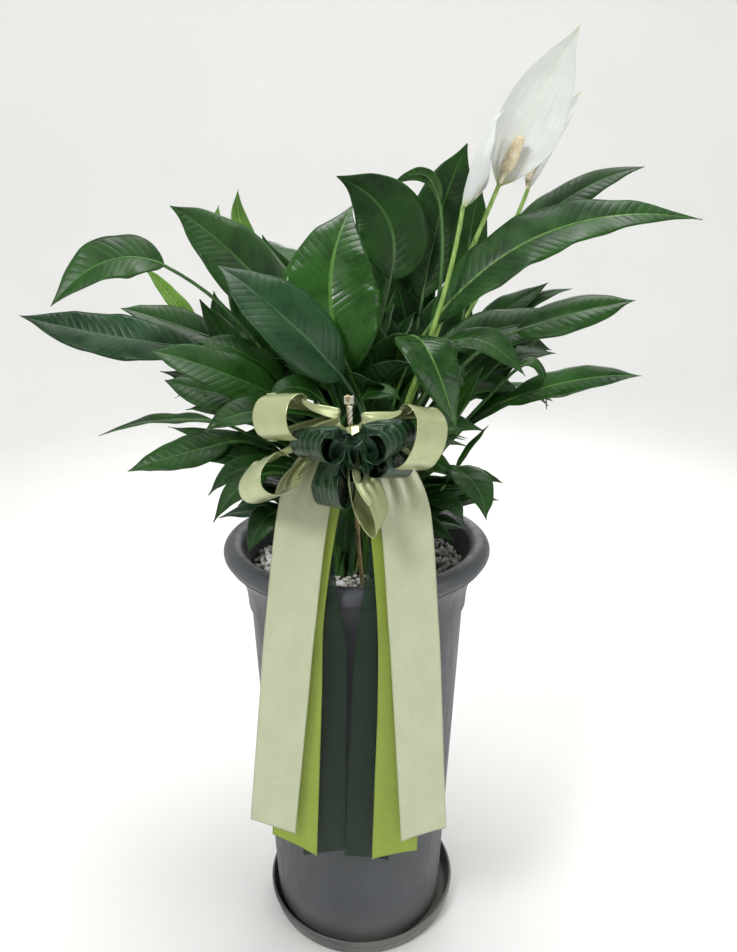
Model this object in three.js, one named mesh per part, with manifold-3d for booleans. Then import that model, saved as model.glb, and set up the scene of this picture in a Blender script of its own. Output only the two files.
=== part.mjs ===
// A potted peace lily with a gift bow, standing in its saucer.
// Millimetres, +Z up, the front faces -Y. The origin is on the pot's axis, on the saucer's underside.
import * as THREE from 'three';
import Module from 'manifold-3d';
import { mergeVertices } from 'three/addons/utils/BufferGeometryUtils.js';

// Pot
const POT_HEIGHT = 474;
const RIM_RADIUS = 145;
const LIP_HEIGHT = 20;
const LIP_WIDTH = 22;
const COLLAR_RADIUS = 121;
const COLLAR_DROP = 72;
const COLLAR_STEP = 3;
const BASE_RADIUS = 101;
const WALL = 4;
const FLOOR = 5;
const DRAIN_RADIUS = 9;

// Saucer
const SAUCER_RADIUS = 114;
const SAUCER_HEIGHT = 22;
const SAUCER_WALL = 3;
const SAUCER_FLARE = 4;
const SAUCER_SHIFT = 4;

// Filling
const HEADSPACE = 28;
const GRAVEL_DEPTH = 14;
const CROWN_RADIUS = 48;
const STONE_BUMP = 1.6;

// Plant
const FOLIAGE_SPREAD = 650;
const FOLIAGE_HEIGHT = 400;
const PETIOLE_FOOT = 2.9;
const PETIOLE_TOP = 1.7;
const BLADE_EDGE = 0.5;
const MIDRIB = 1.6;
const STALK_RADIUS = 2.6;
const SPADIX_RADIUS = 6;

// Gift ribbon, its stake and its tie
const RIBBON_WIDTH = 45;
const RIBBON_THICK = 0.6;
const TAIL_LAYER = 4;
const STAKE_RADIUS = 2.2;
const STAKE_DEPTH = 60;

// Fits
const GAP = 0.3;
const ROUND = 44;
const SMALL_ROUND = 10;

const DRAWN_SPREAD = 650;
const DRAWN_HEIGHT = 400;
const SPREAD = FOLIAGE_SPREAD / DRAWN_SPREAD;
const RISE = FOLIAGE_HEIGHT / DRAWN_HEIGHT;
const POT_FOOT = SAUCER_WALL + GAP;
const RIM_TOP = POT_FOOT + POT_HEIGHT;
const GRAVEL_TOP = RIM_TOP - HEADSPACE;
const SOIL_TOP = GRAVEL_TOP - GRAVEL_DEPTH - GAP;
const TAU = 2 * Math.PI;
const UP = new THREE.Vector3(0, 0, 1);

const wasm = await Module();
wasm.setup();

const COLOURS = {
  pot_plastic: 0x565a5f,
  soil: 0x33271c,
  gravel: 0xcfc8bb,
  leaf: 0x1f4a26,
  flower_stalk: 0x7f9f4a,
  spathe: 0xf1f3ee,
  spadix: 0xe0cf9a,
  cream_satin: 0xdfe3c4,
  lime_satin: 0x9fb43a,
  dark_satin: 0x173a22,
  wood: 0x9a8250,
  tie: 0xd8d6c8,
};

const object = new THREE.Group();
object.name = 'potted_peace_lily';

function add(name, geometry, slot) {
  const material = new THREE.MeshStandardMaterial({ color: COLOURS[slot], roughness: 0.6 });
  material.name = slot;
  const mesh = new THREE.Mesh(geometry, material);
  mesh.name = name;
  object.add(mesh);
}

// A closed solid of revolution about Z from [radius, height] corners listed anticlockwise.
function turned(corners, segments = ROUND) {
  const loop = [...corners, corners[0]].map(([r, z]) => new THREE.Vector2(r, z));
  const geometry = new THREE.LatheGeometry(loop, segments);
  geometry.rotateX(Math.PI / 2);
  return geometry;
}

// A closed skin over rings of points that all have the same count.
function loft(rings) {
  const count = rings[0].length;
  const points = rings.flat();
  const faces = [];
  for (let i = 0; i + 1 < rings.length; i += 1) {
    for (let k = 0; k < count; k += 1) {
      const a = i * count + k;
      const b = i * count + ((k + 1) % count);
      // The two sides of a thin body split along the same diagonal, so a twist never makes them cross.
      if (k < count / 2) faces.push(a, b, b + count, a, b + count, a + count);
      else faces.push(a, b, a + count, b, b + count, a + count);
    }
  }
  for (const [start, turn] of [[0, 1], [(rings.length - 1) * count, 0]]) {
    const middle = new THREE.Vector3();
    for (let k = 0; k < count; k += 1) middle.addScaledVector(points[start + k], 1 / count);
    points.push(middle);
    for (let k = 0; k < count; k += 1) {
      const a = start + k;
      const b = start + ((k + 1) % count);
      faces.push(points.length - 1, turn ? b : a, turn ? a : b);
    }
  }
  return facingOut(points, faces);
}

// The surface over the given faces, turned about if its volume comes out negative.
function facingOut(points, faces) {
  let volume = 0;
  for (let i = 0; i < faces.length; i += 3) {
    const [a, b, c] = [faces[i], faces[i + 1], faces[i + 2]].map((index) => points[index]);
    volume += a.dot(new THREE.Vector3().crossVectors(b, c));
  }
  const geometry = new THREE.BufferGeometry().setFromPoints(points);
  geometry.setIndex(volume < 0 ? faces.reverse() : faces);
  return geometry;
}

function toManifold(geometry) {
  const plain = geometry.clone();
  plain.deleteAttribute('normal');
  plain.deleteAttribute('uv');
  const merged = mergeVertices(plain, 1e-4);
  const mesh = new wasm.Mesh({
    numProp: 3,
    vertProperties: new Float32Array(merged.attributes.position.array),
    triVerts: new Uint32Array(merged.index.array),
  });
  mesh.merge();
  return new wasm.Manifold(mesh);
}

function cut(geometry, tool) {
  const mesh = toManifold(geometry).subtract(toManifold(tool)).getMesh();
  const result = new THREE.BufferGeometry();
  result.setAttribute('position', new THREE.BufferAttribute(new Float32Array(mesh.vertProperties), 3));
  result.setIndex(new THREE.BufferAttribute(new Uint32Array(mesh.triVerts), 1));
  return result;
}

// A place above the pot, from the middle of the rim; it follows the foliage's spread and height.
function fromRim([x, y, z]) {
  return new THREE.Vector3(x * SPREAD, y * SPREAD, RIM_TOP + z * RISE);
}

// The same for the cane and the ribbon, which stay over the rim however far the leaves reach.
function overRim([x, y, z]) {
  return new THREE.Vector3(x, y, RIM_TOP + z * RISE);
}

// ---- Pot, saucer and filling ----

function outerRadius(depth) {
  const collar = COLLAR_RADIUS - COLLAR_STEP;
  const share = (depth - COLLAR_DROP) / (POT_HEIGHT - COLLAR_DROP);
  return collar + (BASE_RADIUS - collar) * share;
}

// The inner wall: a funnel from the lip to the collar, then a straight taper.
function innerRadius(depth) {
  if (depth >= COLLAR_DROP) return outerRadius(depth) - WALL;
  const share = Math.max(0, depth - LIP_HEIGHT / 2) / (COLLAR_DROP - LIP_HEIGHT / 2);
  const top = RIM_RADIUS - LIP_WIDTH;
  const low = outerRadius(COLLAR_DROP) - WALL;
  return low + (top - low) * (1 - share) ** 2;
}

function potProfile() {
  const corners = [[DRAIN_RADIUS, 0], [BASE_RADIUS - 2, 0], [BASE_RADIUS, 2]];
  corners.push([outerRadius(COLLAR_DROP), POT_HEIGHT - COLLAR_DROP]);
  corners.push([COLLAR_RADIUS, POT_HEIGHT - COLLAR_DROP + 1]);
  for (const share of [0.35, 0.65, 0.85, 1]) {
    const drop = COLLAR_DROP + (LIP_HEIGHT - COLLAR_DROP) * share;
    const flare = (RIM_RADIUS - 4 - COLLAR_RADIUS - 2) * share ** 3;
    corners.push([COLLAR_RADIUS + 2 * share + flare, POT_HEIGHT - drop]);
  }
  const half = LIP_HEIGHT / 2;
  corners.push([RIM_RADIUS, POT_HEIGHT - half - 3]);
  corners.push([RIM_RADIUS, POT_HEIGHT - half + 3]);
  corners.push([RIM_RADIUS - 4, POT_HEIGHT - 2]);
  corners.push([RIM_RADIUS - LIP_WIDTH / 2, POT_HEIGHT]);
  corners.push([RIM_RADIUS - LIP_WIDTH + 3, POT_HEIGHT - 3]);
  for (const drop of [half, half + 12, half + 30, COLLAR_DROP]) {
    corners.push([innerRadius(drop), POT_HEIGHT - drop]);
  }
  corners.push([outerRadius(POT_HEIGHT - FLOOR) - WALL, FLOOR]);
  corners.push([DRAIN_RADIUS, FLOOR]);
  return corners;
}

const pot = turned(potProfile());
pot.translate(0, 0, POT_FOOT);
add('pot', pot, 'pot_plastic');

const saucerFloor = SAUCER_RADIUS - SAUCER_FLARE - SAUCER_WALL;
const saucer = turned([
  [0, 0],
  [saucerFloor + SAUCER_WALL - 2, 0],
  [saucerFloor + SAUCER_WALL, 2],
  [SAUCER_RADIUS, SAUCER_HEIGHT - 2],
  [SAUCER_RADIUS - SAUCER_WALL / 2, SAUCER_HEIGHT],
  [SAUCER_RADIUS - SAUCER_WALL, SAUCER_HEIGHT - 2],
  [saucerFloor, SAUCER_WALL],
  [0, SAUCER_WALL],
]);
saucer.translate(SAUCER_SHIFT, 0, 0);
add('saucer', saucer, 'pot_plastic');

function soilProfile() {
  const top = SOIL_TOP - POT_FOOT;
  const corners = [[0, FLOOR + GAP], [outerRadius(POT_HEIGHT - FLOOR) - WALL - 2 * GAP, FLOOR + GAP]];
  const lastDrop = POT_HEIGHT - top;
  if (lastDrop < COLLAR_DROP) corners.push([innerRadius(COLLAR_DROP) - 2 * GAP, POT_HEIGHT - COLLAR_DROP]);
  corners.push([innerRadius(lastDrop) - 2 * GAP, top]);
  corners.push([0, top]);
  return corners;
}

// Where the bow's stake stands, from its buried end to the bow.
const stakeFoot = new THREE.Vector3(5, -62, GRAVEL_TOP);
const stakeTop = overRim([-7, -136, 188]);
const stakeAlong = stakeTop.clone().sub(stakeFoot).normalize();
const stakeEnd = stakeFoot.clone().addScaledVector(stakeAlong, -STAKE_DEPTH);

function rod(from, to, radius, sides = SMALL_ROUND) {
  const along = to.clone().sub(from);
  const geometry = new THREE.CylinderGeometry(radius, radius, along.length(), sides);
  geometry.applyQuaternion(new THREE.Quaternion().setFromUnitVectors(
    new THREE.Vector3(0, 1, 0),
    along.clone().normalize(),
  ));
  geometry.translate(...from.clone().add(to).multiplyScalar(0.5).toArray());
  return geometry;
}

const stakeHole = rod(
  stakeEnd.clone().addScaledVector(stakeAlong, -2 * GAP),
  stakeFoot.clone().addScaledVector(stakeAlong, 30),
  STAKE_RADIUS + 2 * GAP,
);

const soil = turned(soilProfile());
soil.translate(0, 0, POT_FOOT);
add('soil', cut(soil, stakeHole), 'soil');

// The gravel is one ring of stones lying on the soil, open where the plant comes up.
function gravelRing() {
  const low = SOIL_TOP + GAP;
  const rings = [];
  const edge = (height) => innerRadius(RIM_TOP - height) - 2 * GAP;
  for (let k = 0; k < ROUND; k += 1) {
    const turn = (TAU * k) / ROUND;
    const section = [[CROWN_RADIUS, low], [edge(low), low], [edge(GRAVEL_TOP - 3), GRAVEL_TOP - 3]];
    for (const share of [0.86, 0.62, 0.38, 0.14]) {
      const stone = Math.sin(7.3 * k + 19 * share) * STONE_BUMP;
      const radius = CROWN_RADIUS + (edge(GRAVEL_TOP) - CROWN_RADIUS) * share;
      section.push([radius, GRAVEL_TOP - STONE_BUMP + stone]);
    }
    rings.push(section.map(([r, z]) => new THREE.Vector3(r * Math.cos(turn), r * Math.sin(turn), z)));
  }
  return joinedLoft(rings);
}

// A loft whose last ring meets its first.
function joinedLoft(rings) {
  const count = rings[0].length;
  const faces = [];
  for (let i = 0; i < rings.length; i += 1) {
    const next = (i + 1) % rings.length;
    for (let k = 0; k < count; k += 1) {
      const a = i * count + k;
      const b = i * count + ((k + 1) % count);
      const c = next * count + ((k + 1) % count);
      const d = next * count + k;
      faces.push(a, c, b, a, d, c);
    }
  }
  return facingOut(rings.flat(), faces);
}

add('gravel', cut(gravelRing(), stakeHole), 'gravel');

// ---- Leaves ----

// The crown's feet stand on rings: six on the first, twelve on the second, eighteen on the third.
function crownFoot([ring, slot]) {
  const radius = ring * (CROWN_RADIUS - 7) / 3;
  const turn = ring ? (TAU * slot) / (6 * ring) : 0;
  return new THREE.Vector3(radius * Math.cos(turn), radius * Math.sin(turn), SOIL_TOP + GAP);
}

const STEM_LEAN = 0.12;
const STEM_PULL = 0.35;
const STEM_STEPS = 6;
const BLADE_STEPS = 8;
const BLADE_END = 0.985;
const RIB_FADE = 0.8;

// The spine of a blade: it leaves the petiole at the base, passes the middle and ends at the tip.
function bladeSpine(base, middle, tip) {
  const pull = middle.clone().multiplyScalar(2).addScaledVector(base, -0.5).addScaledVector(tip, -0.5);
  return new THREE.QuadraticBezierCurve3(base, pull, tip);
}

// A stem that rises from the crown and bends into the direction `along` at its upper end.
function stemSpine(foot, top, along) {
  const reach = foot.distanceTo(top);
  const rise = foot.clone().add(new THREE.Vector3(
    STEM_LEAN * (top.x - foot.x),
    STEM_LEAN * (top.y - foot.y),
    STEM_PULL * reach,
  ));
  const settle = top.clone().addScaledVector(along, -STEM_PULL * reach);
  return new THREE.CubicBezierCurve3(foot, rise, settle, top);
}

// Side and normal directions along a spine that heads along `heading`, rolled about it.
function frameAt(tangent, heading, roll) {
  const level = new THREE.Vector3(heading.y, -heading.x, 0);
  const side = level.addScaledVector(tangent, -level.dot(tangent)).normalize();
  const up = new THREE.Vector3().crossVectors(side, tangent);
  side.applyAxisAngle(tangent, roll);
  up.applyAxisAngle(tangent, roll);
  return { side, up };
}

// The blade's half width along its length, as a share of the widest place.
const BLADE_RISE = 0.65;
const BLADE_FALL = 1.05;
const WIDEST = BLADE_RISE / (BLADE_RISE + BLADE_FALL);

function bladeShare(t) {
  const swell = (share) => share ** BLADE_RISE * (1 - share) ** BLADE_FALL;
  return swell(t) / swell(WIDEST);
}

// Six points round a petiole, or round a blade folded up about its midrib.
function stemRing(point, { side, up }, radius) {
  return [30, 90, 150, 210, 270, 330].map((degrees) => {
    const angle = THREE.MathUtils.degToRad(degrees);
    return point.clone()
      .addScaledVector(side, -radius * Math.cos(angle))
      .addScaledVector(up, radius * Math.sin(angle));
  });
}

function bladeRing(point, { side, up }, halfWidth, fold, rib) {
  const across = halfWidth * Math.cos(fold);
  const lift = halfWidth * Math.sin(fold);
  const corners = [
    [-across, lift + BLADE_EDGE / 2],
    [0, rib / 2],
    [across, lift + BLADE_EDGE / 2],
    [across, lift - BLADE_EDGE / 2],
    [0, -rib / 2],
    [-across, lift - BLADE_EDGE / 2],
  ];
  return corners.map(([s, n]) => point.clone().addScaledVector(side, s).addScaledVector(up, n));
}

function headingOf(base, tip, facing) {
  if (facing !== undefined) {
    const angle = THREE.MathUtils.degToRad(facing);
    return new THREE.Vector3(Math.cos(angle), Math.sin(angle), 0);
  }
  return new THREE.Vector3(tip.x - base.x, tip.y - base.y, 0).normalize();
}

function leafSolid({ foot, base, middle, tip, width, roll = 0, fold = 14, facing }) {
  const from = crownFoot(foot);
  const [start, belly, end] = [base, middle, tip].map(fromRim);
  const spine = bladeSpine(start, belly, end);
  const heading = headingOf(start, end, facing);
  const tilt = THREE.MathUtils.degToRad(roll);
  const stem = stemSpine(from, start, spine.getTangent(0));
  const rings = [];
  for (let i = 0; i < STEM_STEPS; i += 1) {
    const t = i / STEM_STEPS;
    const along = i ? stem.getTangent(t) : UP;
    const frame = frameAt(along, heading, tilt * t);
    rings.push(stemRing(stem.getPoint(t), frame, PETIOLE_FOOT + (PETIOLE_TOP - PETIOLE_FOOT) * t));
  }
  for (let i = 0; i <= BLADE_STEPS; i += 1) {
    const t = BLADE_END * (i / BLADE_STEPS);
    const frame = frameAt(spine.getTangent(t), heading, tilt);
    const half = Math.max(PETIOLE_TOP * (1 - t), (width / 2) * SPREAD * bladeShare(t));
    const rib = MIDRIB + (2 * PETIOLE_TOP - MIDRIB) * (1 - t) ** 4 - RIB_FADE * t;
    rings.push(bladeRing(spine.getPoint(t), frame, half, THREE.MathUtils.degToRad(fold), rib));
  }
  return loft(rings);
}

// Each leaf by its foot on the crown [ring, slot], then the blade's base, middle and tip
// measured from the middle of the rim, the blade's width, its roll and its fold in degrees.
const LEAVES = {
  leaf_front_1: { foot: [3, 14], base: [-5, -75, 190], middle: [-23, -70, 268], tip: [-2, -15, 340],
    width: 90, roll: 0, fold: 14, facing: 95 },
  leaf_front_2: { foot: [3, 13], base: [-12, -100, 190], middle: [-62, -115, 246], tip: [-118, -105, 288],
    width: 72, roll: -45, fold: 12 },
  leaf_front_3: { foot: [1, 5], base: [52, -84, 225], middle: [66, -124, 210], tip: [86, -140, 152],
    width: 58, roll: 0, fold: 10 },
  leaf_front_4: { foot: [2, 10], base: [80, -60, 212], middle: [113, -88, 222], tip: [151, -104, 192],
    width: 46, roll: 20, fold: 10 },
  leaf_front_5: { foot: [3, 12], base: [-65, -80, 150], middle: [-100, -105, 160], tip: [-135, -120, 145],
    width: 36, roll: -30, fold: 14 },
  leaf_front_6: { foot: [3, 11], base: [-85, -80, 95], middle: [-112, -95, 85], tip: [-135, -105, 55],
    width: 30, roll: -20, fold: 12 },
  leaf_left_1: { foot: [1, 4], base: [-55, 5, 222], middle: [-122, 15, 295], tip: [-178, 0, 340],
    width: 76, roll: -50, fold: 12 },
  leaf_left_2: { foot: [2, 6], base: [-165, 25, 200], middle: [-268, 30, 215], tip: [-345, 20, 235],
    width: 54, roll: -50, fold: 10 },
  leaf_left_3: { foot: [1, 3], base: [-183, -20, 285], middle: [-230, -40, 290], tip: [-280, -60, 250],
    width: 54, roll: -45, fold: 12 },
  leaf_left_4: { foot: [3, 8], base: [-165, 80, 185], middle: [-202, 85, 245], tip: [-232, 85, 280],
    width: 26, roll: -30, fold: 20 },
  leaf_left_5: { foot: [2, 5], base: [-150, 55, 205], middle: [-202, 55, 225], tip: [-250, 50, 240],
    width: 44, roll: -45, fold: 12 },
  leaf_left_6: { foot: [2, 8], base: [-70, -45, 160], middle: [-134, -70, 194], tip: [-187, -80, 212],
    width: 52, roll: -45, fold: 12 },
  leaf_left_7: { foot: [2, 7], base: [-95, -10, 150], middle: [-152, -15, 163], tip: [-192, -20, 175],
    width: 46, roll: -40, fold: 12 },
  leaf_left_8: { foot: [3, 9], base: [-150, 10, 125], middle: [-210, 10, 127], tip: [-275, 10, 110],
    width: 28, roll: -10, fold: 16 },
  leaf_left_9: { foot: [3, 10], base: [-128, -35, 114], middle: [-175, -50, 106], tip: [-225, -60, 92],
    width: 40, roll: -40, fold: 12 },
  leaf_top_1: { foot: [1, 2], base: [35, 20, 270], middle: [32, 30, 330], tip: [-18, 20, 368],
    width: 78, roll: 0, fold: 12, facing: 95 },
  leaf_top_2: { foot: [1, 1], base: [70, 40, 250], middle: [88, 50, 335], tip: [112, 40, 400],
    width: 62, roll: 10, fold: 14, facing: 80 },
  leaf_right_1: { foot: [3, 15], base: [72, -45, 232], middle: [172, -65, 315], tip: [305, -75, 325],
    width: 60, roll: 45, fold: 12 },
  leaf_right_2: { foot: [3, 4], base: [130, 65, 262], middle: [215, 65, 345], tip: [295, 50, 380],
    width: 48, roll: 45, fold: 12 },
  leaf_right_3: { foot: [3, 0], base: [155, -36, 224], middle: [208, -50, 243], tip: [260, -58, 255],
    width: 44, roll: 45, fold: 12 },
  leaf_right_4: { foot: [3, 1], base: [130, 40, 190], middle: [175, 45, 200], tip: [212, 45, 195],
    width: 40, roll: 40, fold: 12 },
  leaf_right_5: { foot: [3, 17], base: [147, -20, 150], middle: [208, -50, 178], tip: [265, -80, 188],
    width: 40, roll: 35, fold: 12 },
  leaf_right_6: { foot: [2, 11], base: [85, -4, 206], middle: [157, 3, 225], tip: [222, 4, 235],
    width: 50, roll: 45, fold: 12 },
  leaf_right_7: { foot: [2, 0], base: [88, 10, 175], middle: [130, 5, 165], tip: [165, -5, 150],
    width: 46, roll: 35, fold: 12 },
  leaf_right_8: { foot: [3, 16], base: [92, -65, 95], middle: [112, -95, 88], tip: [120, -118, 60],
    width: 36, roll: 10, fold: 12 },
  leaf_back_1: { foot: [3, 3], base: [60, 110, 150], middle: [110, 190, 190], tip: [150, 280, 150],
    width: 60, roll: 0, fold: 14 },
  leaf_back_2: { foot: [3, 6], base: [-50, 110, 160], middle: [-90, 190, 200], tip: [-130, 280, 170],
    width: 62, roll: 0, fold: 14 },
  leaf_back_3: { foot: [2, 3], base: [5, 90, 200], middle: [10, 170, 260], tip: [20, 260, 270],
    width: 68, roll: 0, fold: 14 },
  leaf_back_4: { foot: [3, 2], base: [110, 80, 120], middle: [180, 150, 140], tip: [255, 200, 100],
    width: 48, roll: 0, fold: 14 },
  leaf_back_5: { foot: [3, 7], base: [-110, 80, 120], middle: [-170, 150, 140], tip: [-240, 210, 110],
    width: 48, roll: 0, fold: 14 },
  leaf_back_6: { foot: [2, 2], base: [40, 90, 250], middle: [65, 135, 320], tip: [95, 190, 350],
    width: 60, roll: 0, fold: 14 },
  leaf_back_7: { foot: [2, 4], base: [-50, 75, 240], middle: [-90, 120, 295], tip: [-140, 170, 305],
    width: 56, roll: 0, fold: 14 },
  leaf_back_8: { foot: [3, 5], base: [0, 110, 75], middle: [0, 180, 85], tip: [10, 250, 40],
    width: 46, roll: 0, fold: 14 },
};

for (const [name, leaf] of Object.entries(LEAVES)) add(name, leafSolid(leaf), 'leaf');

// ---- Flowers ----

// Each flower by its foot, the top of its stalk, the middle and tip of its spathe and the
// way the spathe's hollow faces, in degrees round from +X.
const FLOWERS = {
  flower_1: { foot: [1, 0], base: [134, -20, 357], middle: [165, -8, 423], tip: [197, -25, 489],
    width: 70, facing: 95, spadix: 46 },
  flower_2: { foot: [2, 9], base: [97, -50, 337], middle: [108, -44, 380], tip: [128, -50, 418],
    width: 40, facing: 170, spadix: 34 },
  flower_3: { foot: [0, 0], base: [176, 46, 358], middle: [196, 44, 405], tip: [222, 42, 446],
    width: 40, facing: 60, spadix: 30 },
};
const HOLLOW = 22;

function spatheSolid(spine, heading, width) {
  const rings = [];
  for (let i = 0; i <= BLADE_STEPS; i += 1) {
    const t = BLADE_END * (i / BLADE_STEPS);
    const frame = frameAt(spine.getTangent(t), heading, 0);
    const half = Math.max(STALK_RADIUS * (1 - t), (width / 2) * SPREAD * bladeShare(t));
    const fold = THREE.MathUtils.degToRad(HOLLOW);
    rings.push(bladeRing(spine.getPoint(t), frame, half, fold, MIDRIB - RIB_FADE * t));
  }
  return loft(rings);
}

function spadixSolid(from, along, length) {
  const rings = [];
  const frame = frameAt(along, new THREE.Vector3(0, 1, 0), 0);
  const stem = 0.22 * length;
  const shape = [[0, 0.3], [stem, 0.3], [stem + 1, 0.75], [0.45 * length, 1], [0.8 * length, 0.9],
    [0.96 * length, 0.6], [length, 0.2]];
  for (const [distance, share] of shape) {
    const centre = from.clone().addScaledVector(along, distance);
    rings.push(stemRing(centre, frame, SPADIX_RADIUS * share));
  }
  return loft(rings);
}

for (const [name, flower] of Object.entries(FLOWERS)) {
  const [top, belly, end] = [flower.base, flower.middle, flower.tip].map(fromRim);
  const spine = bladeSpine(top, belly, end);
  const along = spine.getTangent(0);
  const heading = headingOf(top, end, flower.facing);
  const stalkTop = top.clone().addScaledVector(along, -2 * GAP);
  const stalk = stemSpine(crownFoot(flower.foot), stalkTop, along);
  const rings = [];
  for (let i = 0; i <= 2 * STEM_STEPS; i += 1) {
    const t = i / (2 * STEM_STEPS);
    const frame = frameAt(i ? stalk.getTangent(t) : UP, heading, 0);
    rings.push(stemRing(stalk.getPoint(t), frame, STALK_RADIUS));
  }
  add(`${name}_stalk`, loft(rings), 'flower_stalk');
  add(`${name}_spathe`, spatheSolid(spine, heading, flower.width), 'spathe');
  const { up } = frameAt(along, heading, 0);
  const seat = top.clone().addScaledVector(up, SPADIX_RADIUS * 0.3 + MIDRIB / 2 + 2.5 * GAP);
  const lean = along.clone().addScaledVector(up, 0.36).normalize();
  add(`${name}_spadix`, spadixSolid(seat, lean, flower.spadix), 'spadix');
}

// ---- Gift ribbon ----

add('bow_stake', rod(stakeEnd, stakeTop, STAKE_RADIUS), 'wood');

// A flat band along a smooth path; each stop gives the band's centre and the way its width runs.
function band(stops, width, steps) {
  const path = new THREE.CatmullRomCurve3(stops.map(({ at }) => at), false, 'centripetal');
  const across = new THREE.CatmullRomCurve3(stops.map(({ run }) => run));
  const rings = [];
  for (let i = 0; i <= steps; i += 1) {
    const t = i / steps;
    const tangent = path.getTangent(t);
    const side = across.getPoint(t);
    const share = side.length();
    side.addScaledVector(tangent, -side.dot(tangent)).normalize();
    const face = new THREE.Vector3().crossVectors(side, tangent);
    const centre = path.getPoint(t);
    const corner = (s, n) => centre.clone()
      .addScaledVector(side, (s * share * width) / 2)
      .addScaledVector(face, (n * RIBBON_THICK) / 2);
    rings.push([corner(-1, 1), corner(1, 1), corner(1, -1), corner(-1, -1)]);
  }
  return loft(rings);
}

// Each tail starts pinched behind the knot, comes forward over the rim and hangs in front of the pot.
// The dark pair is nearest to the pot and the cream pair farthest. A line gives the tail's middle
// as [x, height from the rim]: where it is full width, where it passes the rim, a bend and its end.
const TAIL_FRONT = RIM_RADIUS + 4;
const TAIL_BACK = 136;
const KNOT_BACK = 128;
const KNOT_LAYER = 2;
const KNOT_HEIGHT = 150;
const PINCH = 0.35;
const TAIL_STEPS = 12;
const LOOP_STEPS = 18;
const TAILS = {
  ribbon_tail_dark_left: { layer: 0, slot: 'dark_satin', line: [[-42, 92], [-41, 4], [-33, -51], [-34, -290]] },
  ribbon_tail_dark_right: { layer: 1, slot: 'dark_satin', line: [[34, 90], [28, 4], [20, -52], [8, -293]] },
  ribbon_tail_lime_left: { layer: 2, slot: 'lime_satin', line: [[-35, 94], [-52, -10], [-56, -97], [-64, -272]] },
  ribbon_tail_lime_right: { layer: 3, slot: 'lime_satin', line: [[30, 92], [40, -10], [41, -101], [36, -282]] },
  ribbon_tail_cream_left: { layer: 4, slot: 'cream_satin', line: [[-43, 98], [-60, -20], [-68, -94], [-84, -242]] },
  ribbon_tail_cream_right: { layer: 5, slot: 'cream_satin', line: [[40, 90], [50, -20], [55, -97], [64, -250]] },
};

for (const [name, { layer, slot, line }] of Object.entries(TAILS)) {
  const [top, rim, bend, end] = line;
  const place = ([x, z], front, share = 1) => ({
    at: overRim([x, -front, z]),
    run: new THREE.Vector3(share, 0, 0),
  });
  const front = TAIL_FRONT + layer * TAIL_LAYER;
  const stops = [
    place([top[0] / 3, KNOT_HEIGHT], KNOT_BACK + layer * KNOT_LAYER, PINCH),
    place(top, TAIL_BACK + layer * (TAIL_LAYER - 1)),
    place(rim, front),
    place(bend, front),
    place(end, front),
  ];
  add(name, band(stops, RIBBON_WIDTH, TAIL_STEPS), slot);
}

// Each loop is a roll of ribbon pinched into the knot: the roll's centre from the knot, the way its
// width runs, and its radii outwards and upwards. The bow grows with the ribbon's width.
const DRAWN_RIBBON = 45;
const BOW = RIBBON_WIDTH / DRAWN_RIBBON;
const KNOT_STANDOFF = 24;
const KNOT = overRim([-5, -(KNOT_BACK + KNOT_STANDOFF * BOW), 166]);
const KNOT_RING = 10;
const KNOT_SPLIT = 13;
const KNOT_PINCH = 0.25;
const LOOP_LAYER = 41;
const LOOPS = {
  bow_loop_cream_left_upper: { slot: 'cream_satin', layer: 0, centre: [-60, -12, 4],
    axis: [0.4, -0.85, 0.3], radii: [16, 18] },
  bow_loop_cream_left_lower: { slot: 'cream_satin', layer: 0, centre: [-73, -22, -52],
    axis: [0.15, -0.9, 0.3], radii: [27, 14] },
  bow_loop_cream_right: { slot: 'cream_satin', layer: 0, centre: [58, -22, -8],
    axis: [0.4, 0.85, 0.2], radii: [18, 20] },
  bow_loop_cream_low: { slot: 'cream_satin', layer: 0, centre: [18, -36, -66],
    axis: [0.6, 0.7, 0], radii: [22, 9] },
  bow_loop_dark_left: { slot: 'dark_satin', layer: 1, centre: [-26, -9, -15],
    axis: [0.4, -0.85, 0.1], radii: [12, 13] },
  bow_loop_dark_right: { slot: 'dark_satin', layer: 1, centre: [36, -12, -14],
    axis: [0.4, 0.85, 0.1], radii: [12, 13] },
};

const ROLL_STOPS = [140, 95, 45, 0, -45, -95, -140];

function loopStops({ layer, centre, axis, radii }) {
  const knot = KNOT.clone().add(new THREE.Vector3(0, -layer * LOOP_LAYER * BOW, 0));
  const width = new THREE.Vector3(...axis).normalize();
  const middle = new THREE.Vector3(...centre).multiplyScalar(BOW);
  const out = middle.clone().addScaledVector(width, -middle.dot(width)).normalize();
  const up = new THREE.Vector3().crossVectors(width, out);
  if (up.z < 0) up.negate();
  const knotEnd = (degrees) => {
    const angle = Math.atan2(middle.z, middle.x) + THREE.MathUtils.degToRad(degrees);
    const at = new THREE.Vector3(Math.cos(angle), 0, Math.sin(angle)).multiplyScalar(KNOT_RING).add(knot);
    return { at, run: new THREE.Vector3(0, Math.sign(width.y) * KNOT_PINCH, 0) };
  };
  const side = Math.sign(middle.x) || 1;
  const roll = ROLL_STOPS.map((degrees) => {
    const angle = THREE.MathUtils.degToRad(degrees);
    const at = middle.clone().add(knot)
      .addScaledVector(out, radii[0] * BOW * Math.cos(angle))
      .addScaledVector(up, radii[1] * BOW * Math.sin(angle));
    return { at, run: width };
  });
  return [knotEnd(KNOT_SPLIT * side), ...roll, knotEnd(-KNOT_SPLIT * side)];
}

for (const [name, loop] of Object.entries(LOOPS)) {
  add(name, band(loopStops(loop), RIBBON_WIDTH, LOOP_STEPS), loop.slot);
}

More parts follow.
